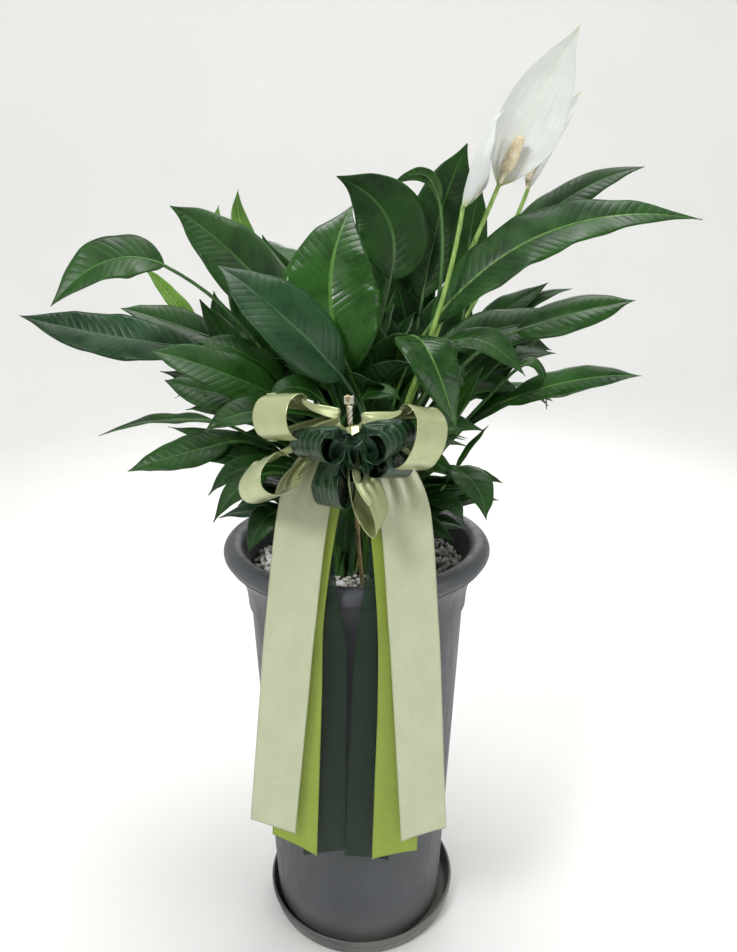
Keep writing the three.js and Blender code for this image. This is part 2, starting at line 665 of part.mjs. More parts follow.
// The wire tie is a ring round the stake's top.
function ringRound(centre, along, inner, thick) {
  const geometry = turned([
    [inner, -thick],
    [inner + thick, -thick],
    [inner + thick, thick],
    [inner, thick],
  ], SMALL_ROUND);
  geometry.applyQuaternion(new THREE.Quaternion().setFromUnitVectors(new THREE.Vector3(0, 0, 1), along));
  geometry.translate(...centre.toArray());
  return geometry;
}

const tieCentre = stakeTop.clone().addScaledVector(stakeAlong, -12);
add('bow_tie', ringRound(tieCentre, stakeAlong, STAKE_RADIUS + 2 * GAP, 1.5), 'tie');

export default object;
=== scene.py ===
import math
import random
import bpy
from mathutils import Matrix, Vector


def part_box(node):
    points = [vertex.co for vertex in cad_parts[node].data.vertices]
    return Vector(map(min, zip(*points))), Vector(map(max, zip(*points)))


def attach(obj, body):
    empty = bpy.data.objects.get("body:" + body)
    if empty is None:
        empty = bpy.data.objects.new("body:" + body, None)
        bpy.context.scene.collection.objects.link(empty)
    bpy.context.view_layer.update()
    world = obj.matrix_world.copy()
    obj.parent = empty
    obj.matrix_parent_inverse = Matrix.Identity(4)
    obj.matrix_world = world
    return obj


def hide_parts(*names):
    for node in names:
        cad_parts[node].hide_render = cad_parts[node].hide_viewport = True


bl_info = {
    "name": "Potted Peace Lily",
    "version": (1, 0, 0),
    "blender": (4, 5, 0),
    "location": "View3D > Sidebar > Peace Lily",
    "description": "Models and finishes a potted peace lily with a gift bow",
    "category": "Add Mesh",
}

import bpy
import numpy as np
from bpy.props import FloatProperty, FloatVectorProperty, IntProperty, PointerProperty
from mathutils import Vector, noise

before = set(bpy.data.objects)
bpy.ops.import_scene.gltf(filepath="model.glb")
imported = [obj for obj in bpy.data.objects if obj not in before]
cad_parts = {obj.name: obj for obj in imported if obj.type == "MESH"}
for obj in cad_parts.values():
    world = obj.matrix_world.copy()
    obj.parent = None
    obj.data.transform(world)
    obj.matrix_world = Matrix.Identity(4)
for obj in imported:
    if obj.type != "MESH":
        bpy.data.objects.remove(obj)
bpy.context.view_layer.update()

POT_LOW, POT_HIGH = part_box("pot")
RIM_TOP = POT_HIGH.z
RIM_RADIUS = POT_HIGH.x
GRAVEL_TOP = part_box("gravel")[1].z
SOIL_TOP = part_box("soil")[1].z
SAUCER_LOW, SAUCER_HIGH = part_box("saucer")
CHART = "Chart"


# ---- Settings -----------------------------------------------------------


def colour(name, description, default):
    return FloatVectorProperty(
        name=name, description=description, default=default, subtype="COLOR", size=3, min=0, max=1
    )


class PotSettings(bpy.types.PropertyGroup):
    plastic: colour("Plastic", "Colour of the pot's and saucer's plastic", (0.060, 0.065, 0.073))
    segments: IntProperty(name="Segments", description="Faces round the pot", default=160, min=32)
    stones: IntProperty(name="Stones", description="Chips of gravel on the soil", default=1900, min=0)
    stone_size: FloatProperty(
        name="Stone Size", description="Mean size of a chip", default=0.0062, unit="LENGTH"
    )


class PlantSettings(bpy.types.PropertyGroup):
    leaf_deep: colour("Old Leaf", "Colour of an old leaf's upper face", (0.0065, 0.028, 0.0045))
    leaf_fresh: colour("Fresh Leaf", "Colour of a young leaf's upper face", (0.015, 0.062, 0.0070))
    vein_gap: FloatProperty(
        name="Vein Gap", description="Distance between side veins", default=0.0085, unit="LENGTH"
    )
    vein_depth: FloatProperty(
        name="Vein Depth", description="How far a blade swells between veins", default=0.00022, unit="LENGTH"
    )
    spathe: colour("Spathe", "Colour of the flower's sheath", (0.66, 0.69, 0.67))


class BowSettings(bpy.types.PropertyGroup):
    ribbon_width: FloatProperty(
        name="Ribbon Width", description="Width the ribbon is cut to", default=0.045, unit="LENGTH"
    )
    cream: colour("Cream", "Colour of the cream satin", (0.48, 0.51, 0.34))
    lime: colour("Lime", "Colour of the lime satin", (0.24, 0.33, 0.030))
    dark: colour("Dark", "Colour of the dark sheer ribbon", (0.010, 0.030, 0.013))


class StageSettings(bpy.types.PropertyGroup):
    floor: colour("Floor", "Colour of the floor", (0.80, 0.80, 0.79))
    key_power: FloatProperty(name="Key Power", description="Power of the key light", default=40, unit="POWER")
    sky_power: FloatProperty(name="Sky Power", description="Strength of the light all round", default=0.60)
    lens: FloatProperty(name="Lens", description="Focal length of the camera", default=27.9, unit="CAMERA")


# ---- Modelling ----------------------------------------------------------


def deselect():
    if bpy.context.mode != "OBJECT":
        bpy.ops.object.mode_set(mode="OBJECT")
    bpy.ops.object.select_all(action="DESELECT")


def pick(piece):
    deselect()
    piece.select_set(True)
    bpy.context.view_layer.objects.active = piece


def named(name):
    piece = bpy.context.active_object
    piece.name = name
    piece.data.name = name
    return piece


def apply(piece, kind, **values):
    """Adds a modifier to the piece, sets it and applies it."""
    pick(piece)
    modifier = piece.modifiers.new(kind.title(), kind)
    for key, value in values.items():
        setattr(modifier, key, value)
    bpy.ops.object.modifier_apply(modifier=modifier.name)
    return piece


def joined(piece, *others):
    deselect()
    for other in others:
        other.select_set(True)
    piece.select_set(True)
    bpy.context.view_layer.objects.active = piece
    bpy.ops.object.join()
    return piece


def finish(piece, slot, *nodes):
    """Settles a finished piece in the frame and hides the parts it replaces; its slot is not used."""
    pick(piece)
    bpy.ops.object.transform_apply(location=True, rotation=True, scale=True)
    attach(piece, "root")
    if nodes:
        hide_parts(*nodes)
    return piece


def turned(name, profile, segments, centre=(0.0, 0.0), filled=False):
    """Extrudes a circle from one (radius, height) of the profile to the next."""
    deselect()
    radius, height = profile[0]
    bpy.ops.mesh.primitive_circle_add(
        vertices=segments,
        radius=radius,
        location=(*centre, height),
        fill_type="NGON" if filled else "NOTHING",
    )
    piece = named(name)
    bpy.ops.object.mode_set(mode="EDIT")
    bpy.ops.mesh.select_all(action="SELECT")
    for next_radius, next_height in profile[1:]:
        bpy.ops.mesh.extrude_region_move(TRANSFORM_OT_translate={"value": (0, 0, next_height - height)})
        share = next_radius / radius
        bpy.ops.transform.resize(value=(share, share, 1), center_override=(*centre, next_height))
        radius, height = next_radius, next_height
    bpy.ops.mesh.select_all(action="SELECT")
    bpy.ops.mesh.remove_doubles(threshold=1e-6)
    bpy.ops.mesh.normals_make_consistent(inside=False)
    bpy.ops.object.mode_set(mode="OBJECT")
    pick(piece)
    bpy.ops.object.transform_apply(location=True, rotation=True, scale=True)
    bpy.ops.object.shade_smooth_by_angle(angle=math.radians(50))
    return piece


def arc(centre, radii, start, end, steps):
    """Points of (radius, height) round part of an ellipse, in degrees anticlockwise."""
    points = []
    for i in range(steps + 1):
        angle = math.radians(start + (end - start) * i / steps)
        points.append((centre[0] + radii[0] * math.cos(angle), centre[1] + radii[1] * math.sin(angle)))
    return points


def tube(name, points, radii, sides=10):
    """A round rod along a row of points, closed at both ends."""
    deselect()
    bpy.ops.curve.primitive_nurbs_path_add()
    curve = bpy.context.active_object.data
    curve.splines.clear()
    spline = curve.splines.new("POLY")
    spline.points.add(len(points) - 1)
    for knot, point, radius in zip(spline.points, points, radii):
        knot.co = (*point, 1)
        knot.radius = radius
    curve.bevel_depth = 1.0
    curve.bevel_resolution = sides // 2 - 2
    curve.use_fill_caps = True
    bpy.ops.object.convert(target="MESH")
    piece = named(name)
    bpy.ops.object.mode_set(mode="EDIT")
    bpy.ops.mesh.select_all(action="SELECT")
    bpy.ops.mesh.remove_doubles(threshold=1e-7)
    bpy.ops.mesh.normals_make_consistent(inside=False)
    bpy.ops.object.mode_set(mode="OBJECT")
    pick(piece)
    bpy.ops.object.shade_smooth_by_angle(angle=math.radians(60))
    return piece


def chart_of(mesh, places):
    """Gives the mesh its own chart; places holds one (u, v) for each vertex."""
    while mesh.uv_layers:
        mesh.uv_layers.remove(mesh.uv_layers[0])
    layer = mesh.uv_layers.new(name=CHART)
    corners = np.empty(len(mesh.loops), np.int32)
    mesh.loops.foreach_get("vertex_index", corners)
    layer.data.foreach_set("uv", places[corners].astype(np.float32).ravel())


def sheet(name, points, chart):
    """A grid whose vertices are moved to points[row, column], charted by chart[row, column]."""
    rows, columns = points.shape[:2]
    deselect()
    bpy.ops.mesh.primitive_grid_add(x_subdivisions=columns - 1, y_subdivisions=rows - 1, size=1)
    piece = named(name)
    mesh = piece.data
    if len(mesh.vertices) != rows * columns:
        raise RuntimeError(f"{name}: the grid has {len(mesh.vertices)} vertices, not {rows * columns}")
    flat = np.empty(len(mesh.vertices) * 3, np.float32)
    mesh.vertices.foreach_get("co", flat)
    flat = flat.reshape(-1, 3)
    column = np.rint((flat[:, 0] + 0.5) * (columns - 1)).astype(int)
    row = np.rint((flat[:, 1] + 0.5) * (rows - 1)).astype(int)
    mesh.vertices.foreach_set("co", points[row, column].astype(np.float32).ravel())
    chart_of(mesh, chart[row, column])
    mesh.update()
    pick(piece)
    bpy.ops.object.shade_smooth()
    return piece


def unit(vector):
    return vector / max(np.linalg.norm(vector), 1e-12)


def from_rim(place):
    """A place in millimetres from the middle of the pot's rim, in the frame."""
    return np.array([0.0, 0.0, RIM_TOP]) + np.array(place) / 1000


def smooth_line(stops, count):
    """Points at even distances along a smooth curve through the stops."""
    stops = np.array(stops, float)
    padded = np.vstack([2 * stops[0] - stops[1], stops, 2 * stops[-1] - stops[-2]])
    fine = []
    for k in range(len(stops) - 1):
        a, b, c, d = padded[k : k + 4]
        for t in np.linspace(0, 1, 24, endpoint=False):
            line = (c - a) * t
            square = (2 * a - 5 * b + 4 * c - d) * t**2
            cube = (3 * b - a - 3 * c + d) * t**3
            fine.append(0.5 * (2 * b + line + square + cube))
    fine.append(stops[-1])
    fine = np.array(fine)
    walked = np.concatenate([[0], np.cumsum(np.linalg.norm(np.diff(fine[:, :3], axis=0), axis=1))])
    even = np.linspace(0, walked[-1], count)
    return np.stack([np.interp(even, walked, fine[:, k]) for k in range(fine.shape[1])], 1), walked[-1]


def bezier(points, t):
    points = [np.array(p, float) for p in points]
    while len(points) > 1:
        points = [a + (b - a) * t for a, b in zip(points, points[1:])]
    return points[0]


def eased(x, low, high):
    x = np.clip((x - low) / (high - low), 0, 1)
    return x * x * (3 - 2 * x)


# ---- Finishes -----------------------------------------------------------


class Finish:
    """A material and short words for wiring its nodes."""

    def __init__(self, name):
        self.material = bpy.data.materials.new(name)
        self.material.use_nodes = True
        self.tree = self.material.node_tree
        self.shader = self.tree.nodes["Principled BSDF"]
        self.where = self.node("ShaderNodeTexCoord").outputs["Object"]

    def node(self, kind, inputs=None, **settings):
        made = self.tree.nodes.new(kind)
        for key, value in settings.items():
            setattr(made, key, value)
        for key, value in (inputs or {}).items():
            self.feed(made.inputs[key], value)
        return made

    def feed(self, socket, value):
        if isinstance(value, bpy.types.NodeSocket):
            self.tree.links.new(value, socket)
        elif isinstance(value, (tuple, list)) and len(value) == 3 and socket.type == "RGBA":
            socket.default_value = (*value, 1)
        else:
            socket.default_value = value

    def shade(self, **inputs):
        for key, value in inputs.items():
            self.feed(self.shader.inputs[key.replace("_", " ").title().replace("Ior", "IOR")], value)

    def math(self, operation, a, b=0.0):
        return self.node("ShaderNodeMath", {0: a, 1: b}, operation=operation).outputs[0]

    def mix(self, share, a, b, blend="MIX"):
        made = self.node("ShaderNodeMix", data_type="RGBA", blend_type=blend)
        self.feed(made.inputs[0], share)
        self.feed(made.inputs[6], a)
        self.feed(made.inputs[7], b)
        return made.outputs[2]

    def span(self, value, low, high, to_low=0.0, to_high=1.0, smooth=True):
        made = self.node(
            "ShaderNodeMapRange",
            {"Value": value, "From Min": low, "From Max": high, "To Min": to_low, "To Max": to_high},
            interpolation_type="SMOOTHSTEP" if smooth else "LINEAR",
        )
        return made.outputs[0]

    def noise(self, scale, detail=3.0, where=None, roughness=0.55):
        return self.node(
            "ShaderNodeTexNoise",
            {"Vector": where or self.where, "Scale": scale, "Detail": detail, "Roughness": roughness},
        ).outputs["Fac"]

    def stretched(self, scale, where=None):
        return self.node("ShaderNodeMapping", {"Vector": where or self.where, "Scale": scale}).outputs[0]

    def chart(self):
        """The piece's own chart, and its two parts."""
        where = self.node("ShaderNodeUVMap", uv_map=CHART).outputs[0]
        parts = self.node("ShaderNodeSeparateXYZ", {0: where})
        return where, parts.outputs[0], parts.outputs[1]

    def bump(self, height, strength, distance, normal=None):
        inputs = {"Height": height, "Strength": strength, "Distance": distance}
        if normal:
            inputs["Normal"] = normal
        return self.node("ShaderNodeBump", inputs).outputs[0]


FINISHES = {}


def finish_named(name, make, *values):
    """The material of that name, made once."""
    if name not in FINISHES:
        FINISHES[name] = make(name, *values)
    return FINISHES[name]


def scaled(tone, share):
    return tuple(min(1.0, channel * share) for channel in tone)


def moulded_plastic(name, tone, roughness):
    """Matt grey plastic with a fine moulded grain, scuffs and a little dust."""
    paint = Finish(name)
    cloud = paint.noise(7, 4)
    speck = paint.noise(420, 2)
    streak = paint.noise(18, 5, paint.stretched((6, 6, 0.9)))
    body = paint.mix(paint.span(cloud, 0.3, 0.7), scaled(tone, 0.86), scaled(tone, 1.16))
    body = paint.mix(paint.span(streak, 0.56, 0.80, 0, 0.30), body, scaled(tone, 1.9))
    body = paint.mix(paint.span(speck, 0.62, 0.78, 0, 0.35), body, scaled(tone, 0.6))
    height = paint.node("ShaderNodeSeparateXYZ", {0: paint.where}).outputs[2]
    dust = paint.math("MULTIPLY", paint.span(height, 0.06, 0.0), paint.span(cloud, 0.35, 0.65, 0.1, 0.5))
    body = paint.mix(dust, body, (0.30, 0.28, 0.25))
    rough = paint.span(streak, 0.3, 0.75, roughness - 0.07, roughness + 0.12)
    grain = paint.bump(paint.noise(900, 2), 0.22, 0.0003)
    soft = paint.bump(paint.noise(24, 3), 0.10, 0.002, grain)
    paint.shade(base_color=body, roughness=rough, normal=soft, specular_ior_level=0.45)
    return paint.material


def potting_soil(name):
    paint = Finish(name)
    crumb = paint.noise(260, 6)
    damp = paint.noise(22, 3)
    tone = paint.mix(paint.span(crumb, 0.35, 0.7), (0.010, 0.007, 0.005), (0.060, 0.040, 0.026))
    tone = paint.mix(paint.span(damp, 0.4, 0.6, 0, 0.5), tone, (0.018, 0.012, 0.008))
    paint.shade(base_color=tone, roughness=paint.span(damp, 0.3, 0.7, 0.7, 0.95))
    paint.shade(normal=paint.bump(crumb, 0.9, 0.003))
    return paint.material


def gravel_chips(name):
    """Mixed chips: white, cream, grey and nearly black, each with its own tint."""
    paint = Finish(name)
    tint = paint.node("ShaderNodeAttribute", attribute_name="tint").outputs["Fac"]
    ramp = paint.node("ShaderNodeValToRGB", {"Fac": tint})
    ramp.color_ramp.interpolation = "CONSTANT"
    tones = [
        (0.0, (0.10, 0.098, 0.095)),
        (0.07, (0.30, 0.29, 0.28)),
        (0.16, (0.55, 0.53, 0.50)),
        (0.30, (0.74, 0.69, 0.60)),
        (0.46, (0.85, 0.82, 0.78)),
        (0.62, (0.95, 0.94, 0.92)),
    ]
    points = ramp.color_ramp.elements
    while len(points) < len(tones):
        points.new(0.5)
    for point, (place, tone) in zip(points, tones):
        point.position = place
        point.color = (*tone, 1)
    grain = paint.noise(900, 4)
    vein = paint.noise(240, 5)
    body = paint.mix(paint.span(grain, 0.4, 0.65, 0, 0.35), ramp.outputs[0], (0.22, 0.20, 0.18))
    body = paint.mix(paint.span(vein, 0.60, 0.66, 0, 0.5), body, (0.86, 0.84, 0.80))
    paint.shade(base_color=body, roughness=paint.span(grain, 0.3, 0.7, 0.45, 0.75))
    paint.shade(normal=paint.bump(grain, 0.5, 0.0006))
    return paint.material


def leaf_face(name, deep, fresh, rib, gloss, groove):
    """A leaf's face: side veins and a midrib read from its chart, mottled and slightly waxy."""
    paint = Finish(name)
    _, across, along = paint.chart()
    off = paint.math("ABSOLUTE", paint.math("SUBTRACT", across, 0.5))
    side = paint.math("PINGPONG", along, 0.5)
    fine = paint.math("PINGPONG", paint.math("MULTIPLY", along, 4.0), 0.5)
    broad = paint.noise(9, 3)
    mottle = paint.noise(60, 4)
    tone = paint.mix(paint.span(broad, 0.34, 0.66), deep, fresh)
    tone = paint.mix(paint.span(mottle, 0.40, 0.70, 0, 0.45), tone, scaled(fresh, 1.25))
    tone = paint.mix(paint.span(mottle, 0.46, 0.30, 0, 0.45), tone, scaled(deep, 0.6))
    tone = paint.mix(paint.span(side, 0.06, 0.0, 0, 0.22), tone, scaled(fresh, 1.5))
    tone = paint.mix(paint.span(off, 0.455, 0.5, 0, 0.25), tone, scaled(fresh, 1.5))
    tone = paint.mix(paint.span(off, 0.030, 0.010, 0, 0.75), tone, rib)
    height = paint.span(side, 0.0, 0.30)
    height = paint.math("ADD", height, paint.math("MULTIPLY", paint.span(fine, 0.0, 0.5), 0.16))
    veins = paint.bump(height, groove, 0.0006)
    skin = paint.bump(paint.noise(1500, 2), 0.10, 0.0002, veins)
    dull = paint.span(paint.noise(30, 4), 0.35, 0.70, gloss - 0.05, gloss + 0.15)
    paint.shade(base_color=tone, roughness=dull, normal=skin)
    paint.shade(specular_ior_level=0.24)
    return paint.material


def plant_stem(name, low, high):
    """A stem's skin, streaked along its length and paler in patches."""
    paint = Finish(name)
    streak = paint.noise(420, 3, paint.stretched((1, 1, 0.03)))
    patch = paint.noise(16, 3)
    tone = paint.mix(paint.span(streak, 0.35, 0.65), low, high)
    tone = paint.mix(paint.span(patch, 0.5, 0.7, 0, 0.4), tone, scaled(high, 1.35))
    paint.shade(base_color=tone, roughness=paint.span(patch, 0.3, 0.7, 0.36, 0.52))
    paint.shade(normal=paint.bump(streak, 0.35, 0.0004))
    return paint.material


def spathe_skin(name, tone):
    """A thin white sheath: fine veins from foot to tip, green at both ends."""
    paint = Finish(name)
    where, across, along = paint.chart()
    off = paint.math("ABSOLUTE", paint.math("SUBTRACT", across, 0.5))
    lines = paint.math("PINGPONG", paint.math("MULTIPLY", across, 15.0), 0.5)
    cloud = paint.noise(34, 4)
    body = paint.mix(paint.span(cloud, 0.35, 0.7), scaled(tone, 0.93), scaled(tone, 1.04))
    body = paint.mix(paint.span(lines, 0.12, 0.0, 0, 0.35), body, (0.70, 0.76, 0.62))
    body = paint.mix(paint.span(off, 0.030, 0.01, 0, 0.28), body, (0.62, 0.72, 0.46))
    body = paint.mix(paint.span(along, 0.10, 0.0, 0, 0.75), body, (0.42, 0.56, 0.18))
    body = paint.mix(paint.span(along, 0.92, 1.0, 0, 0.65), body, (0.50, 0.60, 0.28))
    ripple = paint.noise(26, 3, paint.stretched((1, 0.22, 1), where))
    veins = paint.bump(paint.span(lines, 0.0, 0.25), 0.30, 0.0004)
    soft = paint.bump(ripple, 0.25, 0.002, veins)
    paint.shade(base_color=body, roughness=paint.span(cloud, 0.3, 0.7, 0.36, 0.5), normal=soft)
    paint.shade(subsurface_weight=0.22, subsurface_scale=0.004, subsurface_radius=(1.0, 1.0, 0.7))
    return paint.material


def spadix_skin(name):
    paint = Finish(name)
    grain = paint.noise(700, 3)
    patch = paint.noise(90, 3)
    tone = paint.mix(paint.span(grain, 0.35, 0.65), (0.62, 0.50, 0.30), (0.88, 0.79, 0.58))
    tone = paint.mix(paint.span(patch, 0.48, 0.66, 0, 0.5), tone, (0.90, 0.84, 0.66))
    paint.shade(base_color=tone, roughness=paint.span(grain, 0.3, 0.7, 0.55, 0.8))
    paint.shade(normal=paint.bump(grain, 0.6, 0.0006))
    return paint.material


def satin(name, tone, shine, stripes, opacity, metal):
    """Ribbon satin: threads across it, a woven edge, soft creases with painted shade in their hollows and a
    gloss along the threads.
    """
    paint = Finish(name)
    where, across, _ = paint.chart()
    off = paint.math("ABSOLUTE", paint.math("SUBTRACT", across, 0.5))
    weft = paint.noise(60, 2, paint.stretched((0.35, 9, 1), where))
    warp = paint.noise(60, 2, paint.stretched((7, 0.15, 1), where))
    crease = paint.noise(2.2, 4, paint.stretched((1, 0.6, 1), where))
    # Painted shade of the soft creases: a little darker in the crease hollows and lighter on their crowns,
    # following the crease relief.
    body = paint.mix(paint.span(crease, 0.3, 0.7), scaled(tone, 0.95), scaled(tone, 1.05))
    body = paint.mix(paint.span(weft, 0.4, 0.62, 0, 0.30), body, scaled(tone, 1.25))
    body = paint.mix(paint.span(warp, 0.60, 0.40, 0, 0.25), body, scaled(tone, 0.72))
    if stripes:
        line = paint.math("PINGPONG", paint.math("MULTIPLY", across, 6.0), 0.5)
        body = paint.mix(paint.span(line, 0.14, 0.06, 0, stripes), body, scaled(tone, 7.0))
    body = paint.mix(paint.span(off, 0.470, 0.482, 0, 0.45), body, scaled(tone, 0.70))
    threads = paint.math("ADD", weft, paint.math("MULTIPLY", warp, 0.6))
    edge = paint.span(off, 0.465, 0.485, 0, 1)
    weave = paint.bump(threads, 0.25, 0.0002)
    hem = paint.bump(edge, 0.5, 0.0003, weave)
    soft = paint.bump(crease, 0.20, 0.004, hem)
    rough = paint.span(weft, 0.3, 0.7, 0.50 - shine, 0.58 - shine)
    paint.shade(base_color=body, normal=soft, roughness=rough)
    paint.shade(anisotropic=0.5, specular_ior_level=0.25 + 0.9 * max(tone), alpha=opacity)
    paint.shade(metallic=metal)
    return paint.material


def bamboo(name):
    paint = Finish(name)
    fibre = paint.noise(700, 4, paint.stretched((1, 1, 0.03)))
    patch = paint.noise(30, 4)
    tone = paint.mix(paint.span(fibre, 0.35, 0.65), (0.30, 0.22, 0.10), (0.52, 0.42, 0.22))
    tone = paint.mix(paint.span(patch, 0.52, 0.72, 0, 0.6), tone, (0.13, 0.085, 0.04))
    paint.shade(base_color=tone, roughness=paint.span(patch, 0.3, 0.7, 0.42, 0.66))
    paint.shade(normal=paint.bump(fibre, 0.6, 0.0006))
    return paint.material


def tie_paper(name):
    """The paper skin of a garden tie, worn in patches."""
    paint = Finish(name)
    crumple = paint.noise(900, 4)
    worn = paint.noise(160, 3)
    tone = paint.mix(paint.span(crumple, 0.35, 0.65), (0.55, 0.53, 0.44), (0.78, 0.76, 0.66))
    tone = paint.mix(paint.span(worn, 0.56, 0.70, 0, 0.6), tone, (0.36, 0.34, 0.28))
    paint.shade(base_color=tone, roughness=paint.span(worn, 0.3, 0.7, 0.55, 0.8))
    paint.shade(normal=paint.bump(crumple, 0.6, 0.0005))
    return paint.material


# ---- Pot, saucer and filling --------------------------------------------

COLLAR_RADIUS = 0.121
COLLAR_DROP = 0.072
COLLAR_STEP = 0.003
LIP_HEIGHT = 0.020
LIP_WIDTH = 0.022
BASE_RADIUS = 0.101
WALL = 0.004
POT_FLOOR = 0.005
DRAIN_RADIUS = 0.009
CROWN_RADIUS = 0.048


def wall_radius(drop):
    collar = COLLAR_RADIUS - COLLAR_STEP
    tall = RIM_TOP - POT_LOW.z
    return collar + (BASE_RADIUS - collar) * (drop - COLLAR_DROP) / (tall - COLLAR_DROP)


def inner_radius(drop):
    if drop >= COLLAR_DROP:
        return wall_radius(drop) - WALL
    lip = LIP_HEIGHT / 2
    share = max(0.0, drop - lip) / (COLLAR_DROP - lip)
    low = wall_radius(COLLAR_DROP) - WALL
    return low + (RIM_RADIUS - LIP_WIDTH - low) * (1 - share) ** 2


def pot_profile():
    foot = POT_LOW.z
    floor_edge = wall_radius(RIM_TOP - foot - POT_FLOOR) - WALL
    points = [(DRAIN_RADIUS, foot), (BASE_RADIUS - 0.012, foot)]
    points += arc((BASE_RADIUS - 0.004, foot + 0.004), (0.004, 0.004), -90, 0, 4)
    for drop in np.linspace(0.44, COLLAR_DROP + 0.004, 14):
        points.append((wall_radius(drop), RIM_TOP - drop))
    points.append((wall_radius(COLLAR_DROP) - 0.0004, RIM_TOP - COLLAR_DROP - 0.0012))
    points.append((wall_radius(COLLAR_DROP) + 0.0002, RIM_TOP - COLLAR_DROP))
    points += arc((COLLAR_RADIUS - 0.0014, RIM_TOP - COLLAR_DROP + 0.0016), (0.0014, 0.0014), -90, 0, 4)
    for share in np.linspace(0.08, 1, 14):
        drop = COLLAR_DROP + (LIP_HEIGHT - COLLAR_DROP) * share
        flare = (RIM_RADIUS - COLLAR_RADIUS - 0.0068) * share**3
        points.append((COLLAR_RADIUS + 0.002 * share + flare, RIM_TOP - drop))
    points.append((RIM_RADIUS - 0.0052, RIM_TOP - LIP_HEIGHT + 0.0012))
    half = LIP_HEIGHT / 2
    points += arc((RIM_RADIUS - LIP_WIDTH / 2, RIM_TOP - half), (LIP_WIDTH / 2, half), -56, 178, 26)
    for drop in np.linspace(half + 0.004, COLLAR_DROP, 10):
        points.append((inner_radius(drop), RIM_TOP - drop))
    points += [(floor_edge, foot + POT_FLOOR), (DRAIN_RADIUS, foot + POT_FLOOR), (DRAIN_RADIUS, foot)]
    return points


def build_pot():
    settings = bpy.context.scene.peace_lily_pot
    pot = turned("pot_moulded", pot_profile(), settings.segments)
    pot.data.materials.append(
        finish_named("pot_plastic_grey", moulded_plastic, tuple(settings.plastic), 0.46)
    )
    finish(pot, "pot_plastic", "pot")


def build_saucer():
    settings = bpy.context.scene.peace_lily_pot
    middle = (SAUCER_LOW + SAUCER_HIGH) / 2
    radius = SAUCER_HIGH.x - middle.x
    height = SAUCER_HIGH.z
    foot = radius - 0.004
    profile = [(foot - 0.012, 0.0), (foot - 0.006, 0.0)]
    profile += arc((foot - 0.004, 0.004), (0.004, 0.004), -80, 0, 5)
    profile += [(radius - 0.0012, height - 0.0062), (radius - 0.0002, height - 0.0056)]
    profile += arc((radius - 0.0019, height - 0.0026), (0.0019, 0.0026), -20, 172, 12)
    profile += [(foot - 0.0032, 0.0046), (foot - 0.0050, 0.0032), (foot - 0.030, 0.003)]
    saucer = turned("saucer_moulded", profile, settings.segments, (middle.x, middle.y), filled=True)
    saucer.data.materials.append(
        finish_named("saucer_plastic_grey", moulded_plastic, scaled(settings.plastic, 0.62), 0.36)
    )
    finish(saucer, "pot_plastic", "saucer")


def build_soil():
    """A plug of soil with a crumbled top, heaped a little at the crown."""
    low = POT_LOW.z + POT_FLOOR + 0.0003
    profile = [(wall_radius(RIM_TOP - low) - WALL - 0.0006, low)]
    for drop in (0.30, 0.15, COLLAR_DROP, RIM_TOP - SOIL_TOP):
        profile.append((inner_radius(drop) - 0.0006, RIM_TOP - drop))
    edge = profile[-1][0]
    for share in np.linspace(0.97, 0.03, 30):
        profile.append((edge * share, SOIL_TOP))
    soil = turned("soil_bed", profile, 96, filled=True)
    for vertex in soil.data.vertices:
        reach = math.hypot(vertex.co.x, vertex.co.y)
        if vertex.co.z > SOIL_TOP - 1e-5 and reach < edge * 0.98:
            clod = noise.noise(vertex.co * 110) * 0.0022 + noise.noise(vertex.co * 380) * 0.0012
            heap = 0.0085 * float(eased(reach, 0.062, 0.020))
            vertex.co.z += 0.002 + heap + clod
    soil.data.materials.append(finish_named("potting_soil", potting_soil))
    finish(soil, "soil", "soil")


def chip(seed):
    """One chip of stone: a ball cut by planes, as points and triangles."""
    rng = random.Random(seed)
    deselect()
    bpy.ops.mesh.primitive_ico_sphere_add(subdivisions=2, radius=0.5, location=(0, 0, 0))
    stone = named("chip")
    bpy.ops.object.mode_set(mode="EDIT")
    for _ in range(5):
        bpy.ops.mesh.select_all(action="SELECT")
        facing = Vector((rng.uniform(-1, 1), rng.uniform(-1, 1), rng.uniform(-1, 1))).normalized()
        bpy.ops.mesh.bisect(
            plane_co=facing * rng.uniform(0.26, 0.42),
            plane_no=facing,
            use_fill=True,
            clear_outer=True,
        )
    bpy.ops.mesh.select_all(action="SELECT")
    bpy.ops.transform.resize(value=(1.15, rng.uniform(0.75, 1.0), rng.uniform(0.55, 0.8)))
    bpy.ops.mesh.remove_doubles(threshold=0.07)
    bpy.ops.mesh.quads_convert_to_tris()
    bpy.ops.object.mode_set(mode="OBJECT")
    mesh = stone.data
    points = np.array([vertex.co for vertex in mesh.vertices])
    faces = np.array([list(face.vertices) for face in mesh.polygons])
    bpy.data.objects.remove(stone)
    return points, faces


GRAVEL_SEED = 41


